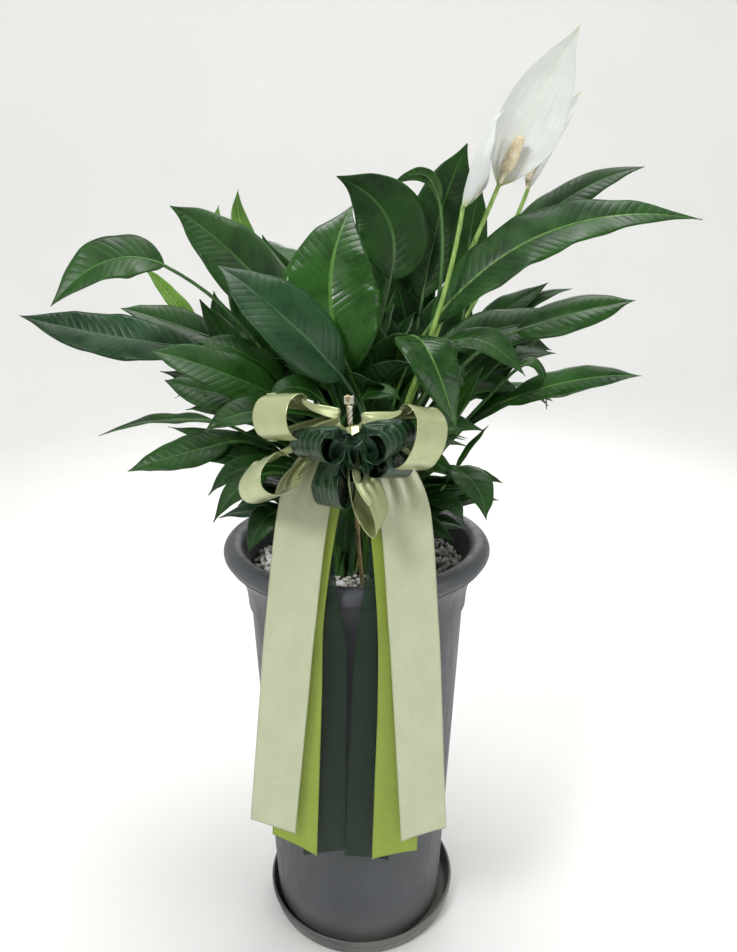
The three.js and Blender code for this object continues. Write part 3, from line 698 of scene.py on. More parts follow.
def build_gravel():
    """Chips strewn over the soil in two beds, the upper one looser, as one piece."""
    settings = bpy.context.scene.peace_lily_pot
    rng = random.Random(GRAVEL_SEED)
    chips = [chip(seed) for seed in range(9)]
    points, faces, tints = [], [], []
    count = 0
    edge = inner_radius(RIM_TOP - GRAVEL_TOP) - 0.003
    for k in range(settings.stones):
        reach = edge * math.sqrt(rng.random())
        turn = rng.uniform(0, math.tau)
        size = settings.stone_size * rng.choice((0.62, 0.8, 0.95, 1.1, 1.35)) * rng.uniform(0.85, 1.15)
        shape, sides = chips[k % len(chips)]
        spin = Vector((rng.gauss(0, 1), rng.gauss(0, 1), rng.gauss(0, 1))).normalized()
        matrix = np.array(spin.to_track_quat("Z", "Y").to_matrix())
        low = GRAVEL_TOP - (0.0085 if k % 2 else 0.0035)
        drop = 0.007 * float(eased(reach, 0.040, 0.010))
        height = low - drop + rng.uniform(-0.002, 0.0015)
        centre = np.array([reach * math.cos(turn), reach * math.sin(turn), height])
        points.append(shape @ matrix.T * size + centre)
        faces.append(sides + count)
        count += len(shape)
        tints += [rng.random()] * len(shape)
    mesh = bpy.data.meshes.new("gravel_chips")
    mesh.from_pydata(np.concatenate(points).tolist(), [], np.concatenate(faces).tolist())
    tint = mesh.attributes.new("tint", "FLOAT", "POINT")
    tint.data.foreach_set("value", tints)
    gravel = bpy.data.objects.new("gravel_chips", mesh)
    bpy.context.scene.collection.objects.link(gravel)
    pick(gravel)
    bpy.ops.object.mode_set(mode="EDIT")
    bpy.ops.mesh.select_all(action="SELECT")
    bpy.ops.mesh.normals_make_consistent(inside=False)
    bpy.ops.object.mode_set(mode="OBJECT")
    bpy.ops.object.shade_smooth_by_angle(angle=math.radians(24))
    gravel.data.materials.append(finish_named("gravel_mixed", gravel_chips))
    finish(gravel, "gravel", "gravel")


# ---- Leaves -------------------------------------------------------------

# Each leaf: foot on the crown (ring, slot), then in millimetres from the middle of the rim the
# blade's base, middle and tip, its width, and in degrees its roll, its fold and its facing.
LEAVES = {
    "leaf_front_1": ((3, 14), (-5, -75, 190), (-23, -70, 268), (-2, -15, 340), 90, 0, 14, 95),
    "leaf_front_2": ((3, 13), (-12, -100, 190), (-62, -115, 246), (-118, -105, 288), 72, -45, 12, None),
    "leaf_front_3": ((1, 5), (52, -84, 225), (66, -124, 210), (86, -140, 152), 58, 0, 10, None),
    "leaf_front_4": ((2, 10), (80, -60, 212), (113, -88, 222), (151, -104, 192), 46, 20, 10, None),
    "leaf_front_5": ((3, 12), (-65, -80, 150), (-100, -105, 160), (-135, -120, 145), 36, -30, 14, None),
    "leaf_front_6": ((3, 11), (-85, -80, 95), (-112, -95, 85), (-135, -105, 55), 30, -20, 12, None),
    "leaf_left_1": ((1, 4), (-55, 5, 222), (-122, 15, 295), (-178, 0, 340), 76, -50, 12, None),
    "leaf_left_2": ((2, 6), (-165, 25, 200), (-268, 30, 215), (-345, 20, 235), 54, -50, 10, None),
    "leaf_left_3": ((1, 3), (-183, -20, 285), (-230, -40, 290), (-280, -60, 250), 54, -45, 12, None),
    "leaf_left_4": ((3, 8), (-165, 80, 185), (-202, 85, 245), (-232, 85, 280), 26, -30, 20, None),
    "leaf_left_5": ((2, 5), (-150, 55, 205), (-202, 55, 225), (-250, 50, 240), 44, -45, 12, None),
    "leaf_left_6": ((2, 8), (-70, -45, 160), (-134, -70, 194), (-187, -80, 212), 52, -45, 12, None),
    "leaf_left_7": ((2, 7), (-95, -10, 150), (-152, -15, 163), (-192, -20, 175), 46, -40, 12, None),
    "leaf_left_8": ((3, 9), (-150, 10, 125), (-210, 10, 127), (-275, 10, 110), 28, -10, 16, None),
    "leaf_left_9": ((3, 10), (-128, -35, 114), (-175, -50, 106), (-225, -60, 92), 40, -40, 12, None),
    "leaf_top_1": ((1, 2), (35, 20, 270), (32, 30, 330), (-18, 20, 368), 78, 0, 12, 95),
    "leaf_top_2": ((1, 1), (70, 40, 250), (88, 50, 335), (112, 40, 400), 62, 10, 14, 80),
    "leaf_right_1": ((3, 15), (72, -45, 232), (172, -65, 315), (305, -75, 325), 60, 45, 12, None),
    "leaf_right_2": ((3, 4), (130, 65, 262), (215, 65, 345), (295, 50, 380), 48, 45, 12, None),
    "leaf_right_3": ((3, 0), (155, -36, 224), (208, -50, 243), (260, -58, 255), 44, 45, 12, None),
    "leaf_right_4": ((3, 1), (130, 40, 190), (175, 45, 200), (212, 45, 195), 40, 40, 12, None),
    "leaf_right_5": ((3, 17), (147, -20, 150), (208, -50, 178), (265, -80, 188), 40, 35, 12, None),
    "leaf_right_6": ((2, 11), (85, -4, 206), (157, 3, 225), (222, 4, 235), 50, 45, 12, None),
    "leaf_right_7": ((2, 0), (88, 10, 175), (130, 5, 165), (165, -5, 150), 46, 35, 12, None),
    "leaf_right_8": ((3, 16), (92, -65, 95), (112, -95, 88), (120, -118, 60), 36, 10, 12, None),
    "leaf_back_1": ((3, 3), (60, 110, 150), (110, 190, 190), (150, 280, 150), 60, 0, 14, None),
    "leaf_back_2": ((3, 6), (-50, 110, 160), (-90, 190, 200), (-130, 280, 170), 62, 0, 14, None),
    "leaf_back_3": ((2, 3), (5, 90, 200), (10, 170, 260), (20, 260, 270), 68, 0, 14, None),
    "leaf_back_4": ((3, 2), (110, 80, 120), (180, 150, 140), (255, 200, 100), 48, 0, 14, None),
    "leaf_back_5": ((3, 7), (-110, 80, 120), (-170, 150, 140), (-240, 210, 110), 48, 0, 14, None),
    "leaf_back_6": ((2, 2), (40, 90, 250), (65, 135, 320), (95, 190, 350), 60, 0, 14, None),
    "leaf_back_7": ((2, 4), (-50, 75, 240), (-90, 120, 295), (-140, 170, 305), 56, 0, 14, None),
    "leaf_back_8": ((3, 5), (0, 110, 75), (0, 180, 85), (10, 250, 40), 46, 0, 14, None),
}
# The tone of each leaf that isn't deep green.
TONES = {
    "leaf_front_1": "glossy",
    "leaf_front_2": "blue",
    "leaf_front_3": "glossy",
    "leaf_left_2": "blue",
    "leaf_left_4": "young",
    "leaf_left_8": "fresh",
    "leaf_right_1": "fresh",
    "leaf_right_5": "fresh",
    "leaf_right_7": "fresh",
    "leaf_back_7": "fresh",
}
PETIOLE_FOOT = 0.0029
PETIOLE_TOP = 0.0017
BLADE_RISE = 0.65
BLADE_FALL = 1.05
WIDEST = BLADE_RISE / (BLADE_RISE + BLADE_FALL)


def crown_foot(foot):
    ring, slot = foot
    radius = ring * (CROWN_RADIUS - 0.007) / 3
    turn = math.tau * slot / (6 * ring) if ring else 0.0
    return np.array([radius * math.cos(turn), radius * math.sin(turn), SOIL_TOP + 0.0003])


def blade_share(t):
    """The blade's half width along it, as a share of the widest place, drawn out to a fine tip."""
    swell = t**BLADE_RISE * (1 - t) ** BLADE_FALL
    widest = WIDEST**BLADE_RISE * (1 - WIDEST) ** BLADE_FALL
    return swell / widest * (1 - 0.30 * eased(t, 0.80, 0.97))


def frame_at(tangent, heading, roll):
    """The side and the upper face's direction of a blade at one place on its midrib."""
    level = np.array([heading[1], -heading[0], 0.0])
    side = unit(level - tangent * level.dot(tangent))
    face = np.cross(side, tangent)
    turn, lift = math.cos(roll), math.sin(roll)
    return side * turn + np.cross(tangent, side) * lift, face * turn + np.cross(tangent, face) * lift


def heading_of(base, tip, facing):
    if facing is not None:
        return np.array([math.cos(math.radians(facing)), math.sin(math.radians(facing)), 0.0])
    return unit(np.array([tip[0] - base[0], tip[1] - base[1], 0.0]))


def stem_line(foot, top, along, count):
    """A stem that rises from the crown and bends into the blade's direction."""
    reach = np.linalg.norm(top - foot)
    rise = foot + np.array([0.12 * (top[0] - foot[0]), 0.12 * (top[1] - foot[1]), 0.35 * reach])
    settle = top - along * 0.35 * reach
    return [bezier([foot, rise, settle, top], t) for t in np.linspace(0, 1, count)]


def leaf_columns(half_count):
    """Places across a blade from -1 to 1, closest together by the midrib."""
    right = [(k / half_count) ** 1.45 for k in range(1, half_count + 1)]
    return np.array([-x for x in reversed(right)] + [0.0] + right)


def blade(name, base, middle, tip, width, roll, fold, facing, seed, fine=1.0):
    """A blade's upper and under faces, pleated along its side veins and waved at its margin."""
    settings = bpy.context.scene.peace_lily_plant
    rng = random.Random(seed)
    pull = 2 * middle - 0.5 * base - 0.5 * tip
    spine = np.array([bezier([base, pull, tip], t) for t in np.linspace(0, 1, 40)])
    length = np.linalg.norm(np.diff(spine, axis=0), axis=1).sum()
    rows = max(24, int(length / (0.0019 / fine)))
    columns = leaf_columns(10 if width > 0.03 else 7)
    heading = heading_of(base, tip, facing)
    tilt, crease = math.radians(roll), math.radians(fold)
    gap = settings.vein_gap * (1 if width > 0.03 else 0.75)
    ruffle = rng.uniform(0.045, 0.085)
    phases = (rng.uniform(0, math.tau), rng.uniform(0, math.tau))
    sway = rng.uniform(0, 40)
    droop = rng.uniform(0.02, 0.22)
    depth = settings.vein_depth * min(1.0, width / 0.05)
    points = np.zeros((rows, len(columns), 3))
    chart = np.zeros((rows, len(columns), 2))
    for j in range(rows):
        t = j / (rows - 1)
        centre = bezier([base, pull, tip], t)
        tangent = unit(2 * (1 - t) * (pull - base) + 2 * t * (tip - pull))
        side, face = frame_at(tangent, heading, tilt)
        half = max(PETIOLE_TOP * (1 - t) ** 2 + 0.0002, width / 2 * float(blade_share(t)))
        bend = 0.0018 * noise.noise((3.2 * t, sway, 0.5)) * math.sin(math.pi * t)
        for i, u in enumerate(columns):
            off = abs(u)
            x = u * half
            vein = (t * length - 0.62 * abs(x) - 0.20 * x * x / (width / 2)) / gap
            swell = depth * math.sin(math.pi * vein) ** 2 * min(1, off * 3.2) * (1 - off**6)
            lift = math.tan(crease) * (math.sqrt(x * x + 0.0016**2) - 0.0016)
            lift -= droop * half * off**3
            phase = phases[0] if u < 0 else phases[1]
            wave = math.sin(math.tau * t * length / ruffle + phase) + 0.2 * math.sin(
                math.tau * t * length / (0.43 * ruffle) + 2 * phase
            )
            lift += 0.060 * half * wave * off**2.4 * min(1, 6 * t) * min(1, 5 * (1 - t))
            lift -= 0.0007 * math.exp(-((x / 0.0012) ** 2)) * (1 - t)
            slip = 0.0014 * noise.noise((6 * t, sway + 7 * np.sign(u), 1.5)) * off**4
            points[j, i] = centre + side * (x + slip * np.sign(u)) + face * (lift + swell + bend)
            chart[j, i] = (0.5 + 0.5 * u, vein + 40)
    piece = sheet(name, points, chart)
    return piece, spine, heading, tilt, length


LEAF_TONES = {
    "deep": (1.0, 1.0, (0.050, 0.150, 0.025), 0.38),
    "blue": (1.0, 0.92, (0.040, 0.120, 0.045), 0.36),
    "glossy": (1.0, 1.25, (0.085, 0.21, 0.030), 0.24),
    "fresh": (1.35, 1.3, (0.12, 0.27, 0.05), 0.38),
    "young": (3.4, 2.3, (0.30, 0.46, 0.12), 0.42),
}


def leaf_finishes(tone):
    """The upper face, the under face and the stem of a leaf of that tone."""
    settings = bpy.context.scene.peace_lily_plant
    deep, fresh = tuple(settings.leaf_deep), tuple(settings.leaf_fresh)
    share, light, rib, gloss = LEAF_TONES[tone]
    deep, fresh = scaled(deep, share), scaled(fresh, light)
    if tone == "blue":
        deep, fresh = (0.006, 0.027, 0.008), (0.012, 0.052, 0.014)
    if tone == "young":
        deep, fresh = (0.060, 0.15, 0.018), (0.12, 0.25, 0.035)
    under = tuple(0.6 * a + 0.4 * b for a, b in zip(scaled(fresh, 1.25), (0.10, 0.20, 0.07)))
    return (
        finish_named(f"leaf_{tone}_upper", leaf_face, deep, fresh, rib, gloss, 0.22),
        finish_named(
            f"leaf_{tone}_under", leaf_face, scaled(under, 0.8), under, scaled(rib, 1.1), 0.46, 0.8
        ),
        finish_named(f"leaf_{tone}_stem", plant_stem, scaled(rib, 0.42), scaled(rib, 0.95)),
    )


def leaf(name, foot, base, middle, tip, width, roll, fold, facing, tone, seed, fine=1.0, thick=0.00045):
    """A whole leaf: the blade with its thickness, and the petiole that runs on as its midrib."""
    base, middle, tip = (from_rim(place) for place in (base, middle, tip))
    face, spine, heading, tilt, length = blade(
        name, base, middle, tip, width / 1000, roll, fold, facing, seed, fine
    )
    for material in leaf_finishes(tone):
        face.data.materials.append(material)
    apply(face, "SOLIDIFY", thickness=thick, offset=-1, material_offset=1, material_offset_rim=1)
    along = unit(spine[1] - spine[0])
    line = stem_line(crown_foot(foot), base, along, 26)
    radii = list(np.linspace(PETIOLE_FOOT, PETIOLE_TOP, 26))
    steps = max(14, int(length / 0.008))
    for t in np.linspace(0, 1, steps + 1)[1:]:
        place = t * 0.97 * (len(spine) - 1)
        k = min(int(place), len(spine) - 2)
        centre = spine[k] + (spine[k + 1] - spine[k]) * (place - k)
        radius = PETIOLE_TOP * (1 - t) ** 1.25 + 0.00025
        _, normal = frame_at(unit(spine[k + 1] - spine[k]), heading, tilt)
        sink = min(1.0, t * 5)
        line.append(centre - normal * (0.0005 + 0.55 * radius) * sink)
        radii.append(radius)
    stem = tube(f"{name}_stem", line, radii, 8)
    while stem.data.uv_layers:
        stem.data.uv_layers.remove(stem.data.uv_layers[0])
    stem.data.uv_layers.new(name=CHART)
    stem.data.materials.append(leaf_finishes(tone)[2])
    return joined(face, stem)


LEAF_SEED = 100


def build_leaves():
    for number, (name, values) in enumerate(LEAVES.items()):
        tone = TONES.get(name, "deep")
        piece = leaf(f"{name}_grown", *values, tone, LEAF_SEED + number)
        finish(piece, "leaf", name)


# Small leaves that stand between the large ones, in the same terms as LEAVES, with their tone.
SMALL_LEAVES = {
    "top": ((2, 1), (85, 30, 343), (70, 40, 371), (36, 45, 361), 18, 55, 10, None, "deep"),
    "stalk": ((1, 1), (114, 30, 258), (117, 34, 312), (124, 20, 364), 38, 0, 12, 80, "deep"),
    "young_1": ((3, 8), (-146, 88, 287), (-150, 92, 314), (-148, 96, 345), 20, -30, 18, None, "young"),
    "young_2": ((3, 8), (-102, 84, 281), (-123, 90, 318), (-126, 96, 361), 26, -30, 18, None, "young"),
    "left_1": ((2, 6), (-94, 20, 149), (-130, 26, 197), (-162, 32, 250), 50, -30, 12, None, "deep"),
    "left_2": ((2, 7), (-70, 0, 125), (-124, -6, 153), (-176, -12, 173), 46, -35, 12, None, "deep"),
    "left_3": ((3, 11), (-51, -50, 133), (-96, -62, 154), (-144, -66, 134), 40, -25, 12, None, "fresh"),
    "left_4": ((3, 9), (-81, 0, 95), (-137, -4, 110), (-195, -8, 124), 28, -25, 12, None, "deep"),
    "left_5": ((3, 10), (-62, -30, 89), (-119, -40, 100), (-174, -44, 108), 38, -30, 12, None, "deep"),
    "left_6": ((3, 11), (-66, -60, 94), (-111, -70, 97), (-144, -76, 72), 34, -25, 12, None, "deep"),
    "left_7": ((2, 8), (-89, 30, 114), (-141, 28, 133), (-183, 24, 135), 28, -25, 12, None, "deep"),
    "left_8": ((2, 5), (-119, 70, 169), (-144, 74, 215), (-155, 76, 256), 44, -25, 12, None, "deep"),
    "rim_left": ((3, 11), (-78, -52, 47), (-94, -72, 42), (-108, -80, 11), 34, -20, 14, None, "deep"),
    "rim_front": ((3, 13), (-5, -64, 68), (-11, -84, 42), (-11, -92, 11), 24, 0, 16, None, "deep"),
    "rim_right": ((3, 15), (64, -52, 50), (88, -70, 63), (105, -80, 43), 30, 15, 14, None, "deep"),
    "right_thin": ((3, 16), (100, -62, 95), (120, -74, 92), (141, -80, 84), 13, 25, 14, None, "deep"),
    "right_hook": ((2, 11), (156, -22, 181), (180, -30, 191), (190, -36, 147), 16, 25, 16, None, "deep"),
    "right_1": ((2, 0), (80, 6, 141), (124, 0, 167), (173, -6, 158), 46, 25, 12, None, "deep"),
    "right_2": ((3, 17), (78, -34, 121), (100, -40, 155), (123, -40, 190), 42, 20, 12, None, "fresh"),
    "right_3": ((3, 16), (99, -50, 90), (112, -56, 114), (128, -60, 137), 12, 30, 20, None, "deep"),
    "right_4": ((2, 11), (110, -12, 121), (154, -20, 155), (198, -26, 154), 28, 25, 14, None, "deep"),
    "right_5": ((2, 1), (133, 58, 212), (180, 60, 242), (233, 58, 259), 26, 35, 12, None, "fresh"),
    "right_6": ((2, 0), (125, 20, 177), (166, 20, 191), (209, 14, 196), 32, 30, 12, None, "deep"),
    "centre_1": ((1, 2), (39, 30, 143), (30, 40, 195), (24, 46, 249), 52, 0, 12, 92, "deep"),
    "centre_2": ((2, 10), (38, -20, 143), (37, -24, 178), (30, -24, 212), 30, 5, 14, 85, "fresh"),
    "centre_3": ((2, 3), (64, 60, 157), (57, 70, 215), (44, 76, 268), 56, 0, 12, 95, "deep"),
    "centre_4": ((2, 2), (100, 40, 173), (103, 46, 222), (121, 48, 259), 54, 10, 12, 80, "deep"),
    "centre_5": ((1, 3), (-29, 40, 143), (-61, 50, 185), (-77, 56, 230), 50, -20, 12, 100, "deep"),
    "centre_6": ((1, 4), (-74, 50, 130), (-110, 56, 171), (-130, 60, 217), 48, -25, 12, 110, "deep"),
    "centre_7": ((2, 0), (123, 30, 144), (155, 34, 181), (196, 34, 210), 46, 25, 12, None, "deep"),
    "bow_1": ((3, 12), (-32, -86, 167), (-54, -96, 182), (-79, -104, 174), 34, -25, 12, None, "deep"),
    "bow_2": ((3, 14), (2, -84, 166), (22, -92, 177), (41, -98, 169), 30, 20, 12, None, "deep"),
    "fill_1": ((2, 6), (-68, 24, 176), (-98, 30, 232), (-137, 36, 288), 64, -20, 12, 115, "deep"),
    "fill_2": ((2, 7), (-70, -10, 162), (-110, -16, 199), (-158, -20, 214), 56, -25, 12, None, "deep"),
    "fill_3": ((1, 3), (-49, 66, 176), (-76, 72, 247), (-100, 76, 314), 60, -10, 12, 105, "deep"),
    "fill_4": ((1, 0), (68, 30, 169), (89, 34, 219), (96, 36, 266), 60, 10, 12, 80, "deep"),
    "fill_5": ((2, 0), (96, 10, 157), (141, 14, 198), (190, 18, 239), 56, 25, 12, None, "deep"),
    "fill_6": ((2, 1), (105, 50, 185), (156, 56, 231), (207, 60, 265), 50, 25, 12, None, "deep"),
    "fill_7": ((1, 2), (18, 80, 181), (11, 86, 246), (-6, 90, 304), 64, 0, 12, 92, "deep"),
    "fill_8": ((1, 1), (51, 74, 193), (60, 80, 257), (74, 84, 318), 60, 5, 12, 85, "deep"),
    "fill_9": ((3, 10), (-57, -40, 108), (-87, -50, 136), (-126, -56, 147), 44, -25, 12, None, "deep"),
    "fill_10": ((3, 16), (51, -46, 120), (82, -54, 138), (124, -58, 131), 46, 20, 12, None, "deep"),
    "fill_11": ((3, 15), (47, -56, 100), (72, -66, 103), (99, -72, 84), 40, 15, 12, None, "deep"),
    "fill_12": ((3, 13), (-4, -80, 99), (-18, -96, 75), (-22, -104, 32), 30, -10, 14, None, "fresh"),
    "fill_13": ((2, 8), (-103, 40, 139), (-155, 44, 160), (-213, 46, 173), 44, -25, 12, None, "deep"),
    "fill_14": ((3, 14), (10, -30, 169), (16, -34, 205), (12, -36, 240), 40, 5, 14, 88, "fresh"),
}

SMALL_SEED = 300
SMALL_GRAIN = 0.8


def build_small_leaves():
    for number, (name, values) in enumerate(SMALL_LEAVES.items()):
        *shape, tone = values
        finish(leaf(f"leaf_small_{name}", *shape, tone, SMALL_SEED + number, SMALL_GRAIN), "leaf")


# Tiers of short leaves in the crown: how many, the lowest and highest blade foot in millimetres
# over the rim, how far out they stand and how steeply they rise.
TIERS = ((30, 4, 58, 64, 0.25), (26, 66, 126, 52, 0.55), (22, 124, 190, 34, 0.95))
INNER_SEED = 17
INNER_LEAF_SEED = 500
INNER_GRAIN = 0.65
GOLDEN_TURN = 2.39996
BOW_SIDE = -118


def build_inner_leaves():
    """Short leaves that fill the crown, on golden-angle spirals that leave the bow's side open."""
    rng = random.Random(INNER_SEED)
    made = 0
    for tier, (count, low, high, reach, rise) in enumerate(TIERS):
        for k in range(count):
            turn = k * GOLDEN_TURN + tier + rng.uniform(-0.15, 0.15)
            start = reach * rng.uniform(0.7, 1.0)
            size = rng.uniform(0.85, 1.2)
            height = low + (high - low) * rng.random()
            lift = size * rise * rng.uniform(0.75, 1.2)
            out = np.array([math.cos(turn), math.sin(turn)])
            if out[1] * (start + 82 * size) < BOW_SIDE:
                continue
            base = (*(out * start), height)
            middle = (*(out * (start + 38 * size)), height + 42 * lift + 8)
            tip = (*(out * (start + 80 * size)), height + 74 * lift - 6)
            ring = 1 + k % 3
            foot = (ring, round(turn / math.tau * 6 * ring) % (6 * ring) + 0.37)
            tone = ("deep", "deep", "fresh", "deep", "blue")[k % 5]
            shape = (foot, base, middle, tip, rng.uniform(38, 56), rng.uniform(-28, 28), 14, None)
            finish(leaf(f"leaf_inner_{made}", *shape, tone, INNER_LEAF_SEED + made, INNER_GRAIN), "leaf")
            made += 1


# ---- Flowers ------------------------------------------------------------

# Each flower: foot on the crown, the spathe's base, middle and tip in millimetres from the middle
# of the rim, its width, the way its hollow's back heads in degrees, how far it is rolled up and its
# spadix's length.
FLOWERS = {
    "flower_1": ((1, 0), (134, -20, 357), (165, -8, 423), (197, -25, 489), 70, 95, 1.0, 46),
    "flower_2": ((2, 9), (97, -50, 337), (108, -44, 380), (128, -50, 418), 46, 170, 2.2, 34),
    "flower_3": ((0, 0), (176, 46, 358), (196, 44, 405), (222, 42, 446), 44, 60, 2.2, 30),
}
SPATHE_SEED = 60
STALK_RADIUS = 0.0026
SPADIX_RADIUS = 0.006
SPADIX_LEAN = 0.36


def spathe(name, base, middle, tip, width, facing, wrap, seed):
    """The white sheath: cupped, waved a little at its margin and drawn out to a curled tip."""
    rng = random.Random(seed)
    pull = 2 * middle - 0.5 * base - 0.5 * tip
    rows, columns = 110, 33
    heading = heading_of(base, tip, facing)
    phases = (rng.uniform(0, math.tau), rng.uniform(0, math.tau))
    points = np.zeros((rows, columns, 3))
    chart = np.zeros((rows, columns, 2))
    for j in range(rows):
        t = j / (rows - 1)
        centre = bezier([base, pull, tip], t)
        tangent = unit(2 * (1 - t) * (pull - base) + 2 * t * (tip - pull))
        side, face = frame_at(tangent, heading, 0)
        half = max(STALK_RADIUS * (1 - t) + 0.0002, width / 2 * float(blade_share(t)))
        curl = wrap * (1.2 - 0.77 * t)
        for i, u in enumerate(np.linspace(-1, 1, columns)):
            x = half / curl * math.sin(u * curl)
            lift = half / curl * (1 - math.cos(u * curl))
            phase = phases[0] if u < 0 else phases[1]
            lift += 0.06 * half * math.sin(math.tau * t * 2.4 + phase) * abs(u) ** 2 * min(1, 5 * (1 - t))
            lift += 0.0006 * math.sin(u * 21) * (1 - t) * min(1, 8 * t)
            lift += 0.0035 * float(eased(t, 0.86, 1.0)) - 0.0006 * math.exp(-((x / 0.0015) ** 2))
            points[j, i] = centre + side * x + face * lift
            chart[j, i] = (0.5 + 0.5 * u, t)
    piece = sheet(name, points, chart)
    piece.data.materials.append(finish_named("spathe_white", spathe_skin, tuple(
        bpy.context.scene.peace_lily_plant.spathe)))
    apply(piece, "SOLIDIFY", thickness=0.0005, offset=-1)
    return piece


def spadix(name, seat, lean, length):
    """A blunt spike set all over with small round knobs on two crossing spirals."""
    deselect()
    bpy.ops.mesh.primitive_uv_sphere_add(segments=56, ring_count=90, radius=1, location=(0, 0, 0))
    piece = named(name)
    lean = unit(lean)
    side = unit(np.cross(lean, [0.0, 1.0, 0.0]))
    front = np.cross(lean, side)
    for vertex in piece.data.vertices:
        share = math.acos(max(-1, min(1, -vertex.co.z))) / math.pi
        turn = math.atan2(vertex.co.y, vertex.co.x)
        along = share * length
        stem = 0.20 * length
        body = 0.30 + 0.70 * float(eased(along, stem, stem + 0.006)) - 0.25 * float(eased(share, 0.55, 0.96))
        close = math.sqrt(max(0.0, 1 - max(0.0, (share - 0.90) / 0.10) ** 2)) * min(1.0, share * 30)
        radius = SPADIX_RADIUS * body * close
        if along > stem + 0.002:
            spiral = 2200 * along
            knob = abs(math.sin((8 * turn + spiral) / 2)) * abs(math.sin((8 * turn - spiral) / 2))
            radius += 0.00085 * knob * close - 0.0002
        place = seat + lean * along + side * radius * math.cos(turn) + front * radius * math.sin(turn)
        vertex.co = Vector(place)
    piece.data.update()
    pick(piece)
    bpy.ops.object.mode_set(mode="EDIT")
    bpy.ops.mesh.select_all(action="SELECT")
    bpy.ops.mesh.normals_make_consistent(inside=False)
    bpy.ops.object.mode_set(mode="OBJECT")
    bpy.ops.object.shade_smooth()
    piece.data.materials.append(finish_named("spadix_cream", spadix_skin))
    return piece


def build_flowers():
    stalk_skin = finish_named("flower_stalk_skin", plant_stem, (0.13, 0.26, 0.045), (0.30, 0.46, 0.10))
    for number, (name, values) in enumerate(FLOWERS.items()):
        foot, base, middle, tip, width, facing, wrap, spike = values
        base, middle, tip = (from_rim(place) for place in (base, middle, tip))
        pull = 2 * middle - 0.5 * base - 0.5 * tip
        along = unit(pull - base)
        line = stem_line(crown_foot(foot), base, along, 48)
        stalk = tube(f"{name}_stalk_grown", line, list(np.linspace(0.0028, 0.0021, 48)), 12)
        stalk.data.materials.append(stalk_skin)
        finish(stalk, "flower_stalk", f"{name}_stalk")
        sheath = spathe(
            f"{name}_spathe_grown", base, middle, tip, width / 1000, facing, wrap, SPATHE_SEED + number
        )
        finish(sheath, "spathe", f"{name}_spathe")
        _, face = frame_at(along, heading_of(base, tip, facing), 0)
        seat = base + face * 0.0014
        lean = along + SPADIX_LEAN * face
        spike_piece = spadix(f"{name}_spadix_grown", seat, lean, spike / 1000)
        finish(spike_piece, "spadix", f"{name}_spadix")


# ---- Gift bow -----------------------------------------------------------

# Each tail: its layer out from the pot, then its middle line in millimetres [x, height from the
# rim] where it is first full width, where it passes the rim, at its bend and at its end, then its
# end's slant and its ribbon.
TAILS = {
    "ribbon_tail_dark_left": (0, ((-42, 92), (-41, 4), (-33, -51), (-34, -290)), 6, "dark"),
    "ribbon_tail_dark_right": (1, ((34, 90), (28, 4), (20, -52), (8, -293)), -4, "dark"),
    "ribbon_tail_lime_left": (2, ((-35, 94), (-52, -10), (-56, -97), (-64, -272)), -26, "lime"),
    "ribbon_tail_lime_right": (3, ((30, 92), (40, -10), (41, -101), (36, -282)), 12, "lime"),
    "ribbon_tail_cream_left": (4, ((-43, 98), (-60, -20), (-68, -94), (-84, -242)), -14, "cream"),
    "ribbon_tail_cream_right": (5, ((40, 90), (50, -20), (55, -97), (64, -250)), 14, "cream"),
}
TAIL_LAYER = 0.004
TAIL_FRONT = RIM_RADIUS + 0.004
TAIL_BACK = 0.136
KNOT_BACK = 0.128
KNOT_HEIGHT = 150
PINCH = 0.35
KNOT = from_rim((-5, -152, 166))
KNOT_RING = 0.010
KNOT_PINCH = 0.25
KNOT_SPLIT = 13
LOOP_LAYER = 0.041
# Each loop: its layer in front of the knot, its middle in millimetres from the knot, the way its
# width runs, its radii outwards and upwards in millimetres, and its ribbon.
LOOPS = {
    "bow_loop_cream_left_upper": (0, (-54, -16, 4), (0.66, -0.70, 0.16), (15, 19), "cream"),
    "bow_loop_cream_left_lower": (0, (-64, -24, -44), (0.50, -0.74, 0.42), (24, 16), "cream"),
    "bow_loop_cream_right": (0, (52, -18, -14), (0.62, 0.74, -0.24), (17, 27), "cream"),
    "bow_loop_cream_low": (0, (15, -30, -62), (0.26, 0.96, 0.08), (26, 7), "cream"),
    "bow_loop_dark_left": (1, (-26, 2, -14), (0.58, -0.78, 0.10), (11, 13), "dark"),
    "bow_loop_dark_right": (1, (31, 2, -10), (0.55, 0.80, 0.10), (11, 13), "dark"),
}
# Shorter folds of the dark ribbon that fill the middle of the bow, in the same terms.
FOLDS = {
    "bow_fold_dark_1": (1, (13, 12, -28), (0.50, 0.84, 0.25), (10, 10), "dark"),
    "bow_fold_dark_2": (1, (32, 16, -34), (0.52, 0.80, -0.25), (11, 11), "dark"),
    "bow_fold_dark_3": (1, (-15, 14, -52), (0.50, -0.82, 0.20), (17, 8), "dark"),
    "bow_fold_dark_4": (1, (-6, 16, -26), (0.60, -0.76, 0.15), (10, 9), "dark"),
}
# How many rows measure a ribbon's length, and how far apart its own rows then are.
GUESS_ROWS = 40
ROW_STEP = 0.0022
# Each satin: how glossy it is, how clear its stripes are, how much of the light it stops and how
# much it mirrors in its own colour.
SATINS = {
    "cream": (0.22, 0.0, 1.0, 0.10),
    # cream_loop: the cream of the bow's loops, which satin_of darkens and turns olive as painted shade.
    "cream_loop": (0.32, 0.0, 1.0, 0.42),
    "lime": (0.22, 0.0, 1.0, 0.10),
    "dark": (0.16, 0.0, 0.64, 0.0),
    "dark_loop": (0.28, 0.35, 1.0, 0.15),
}


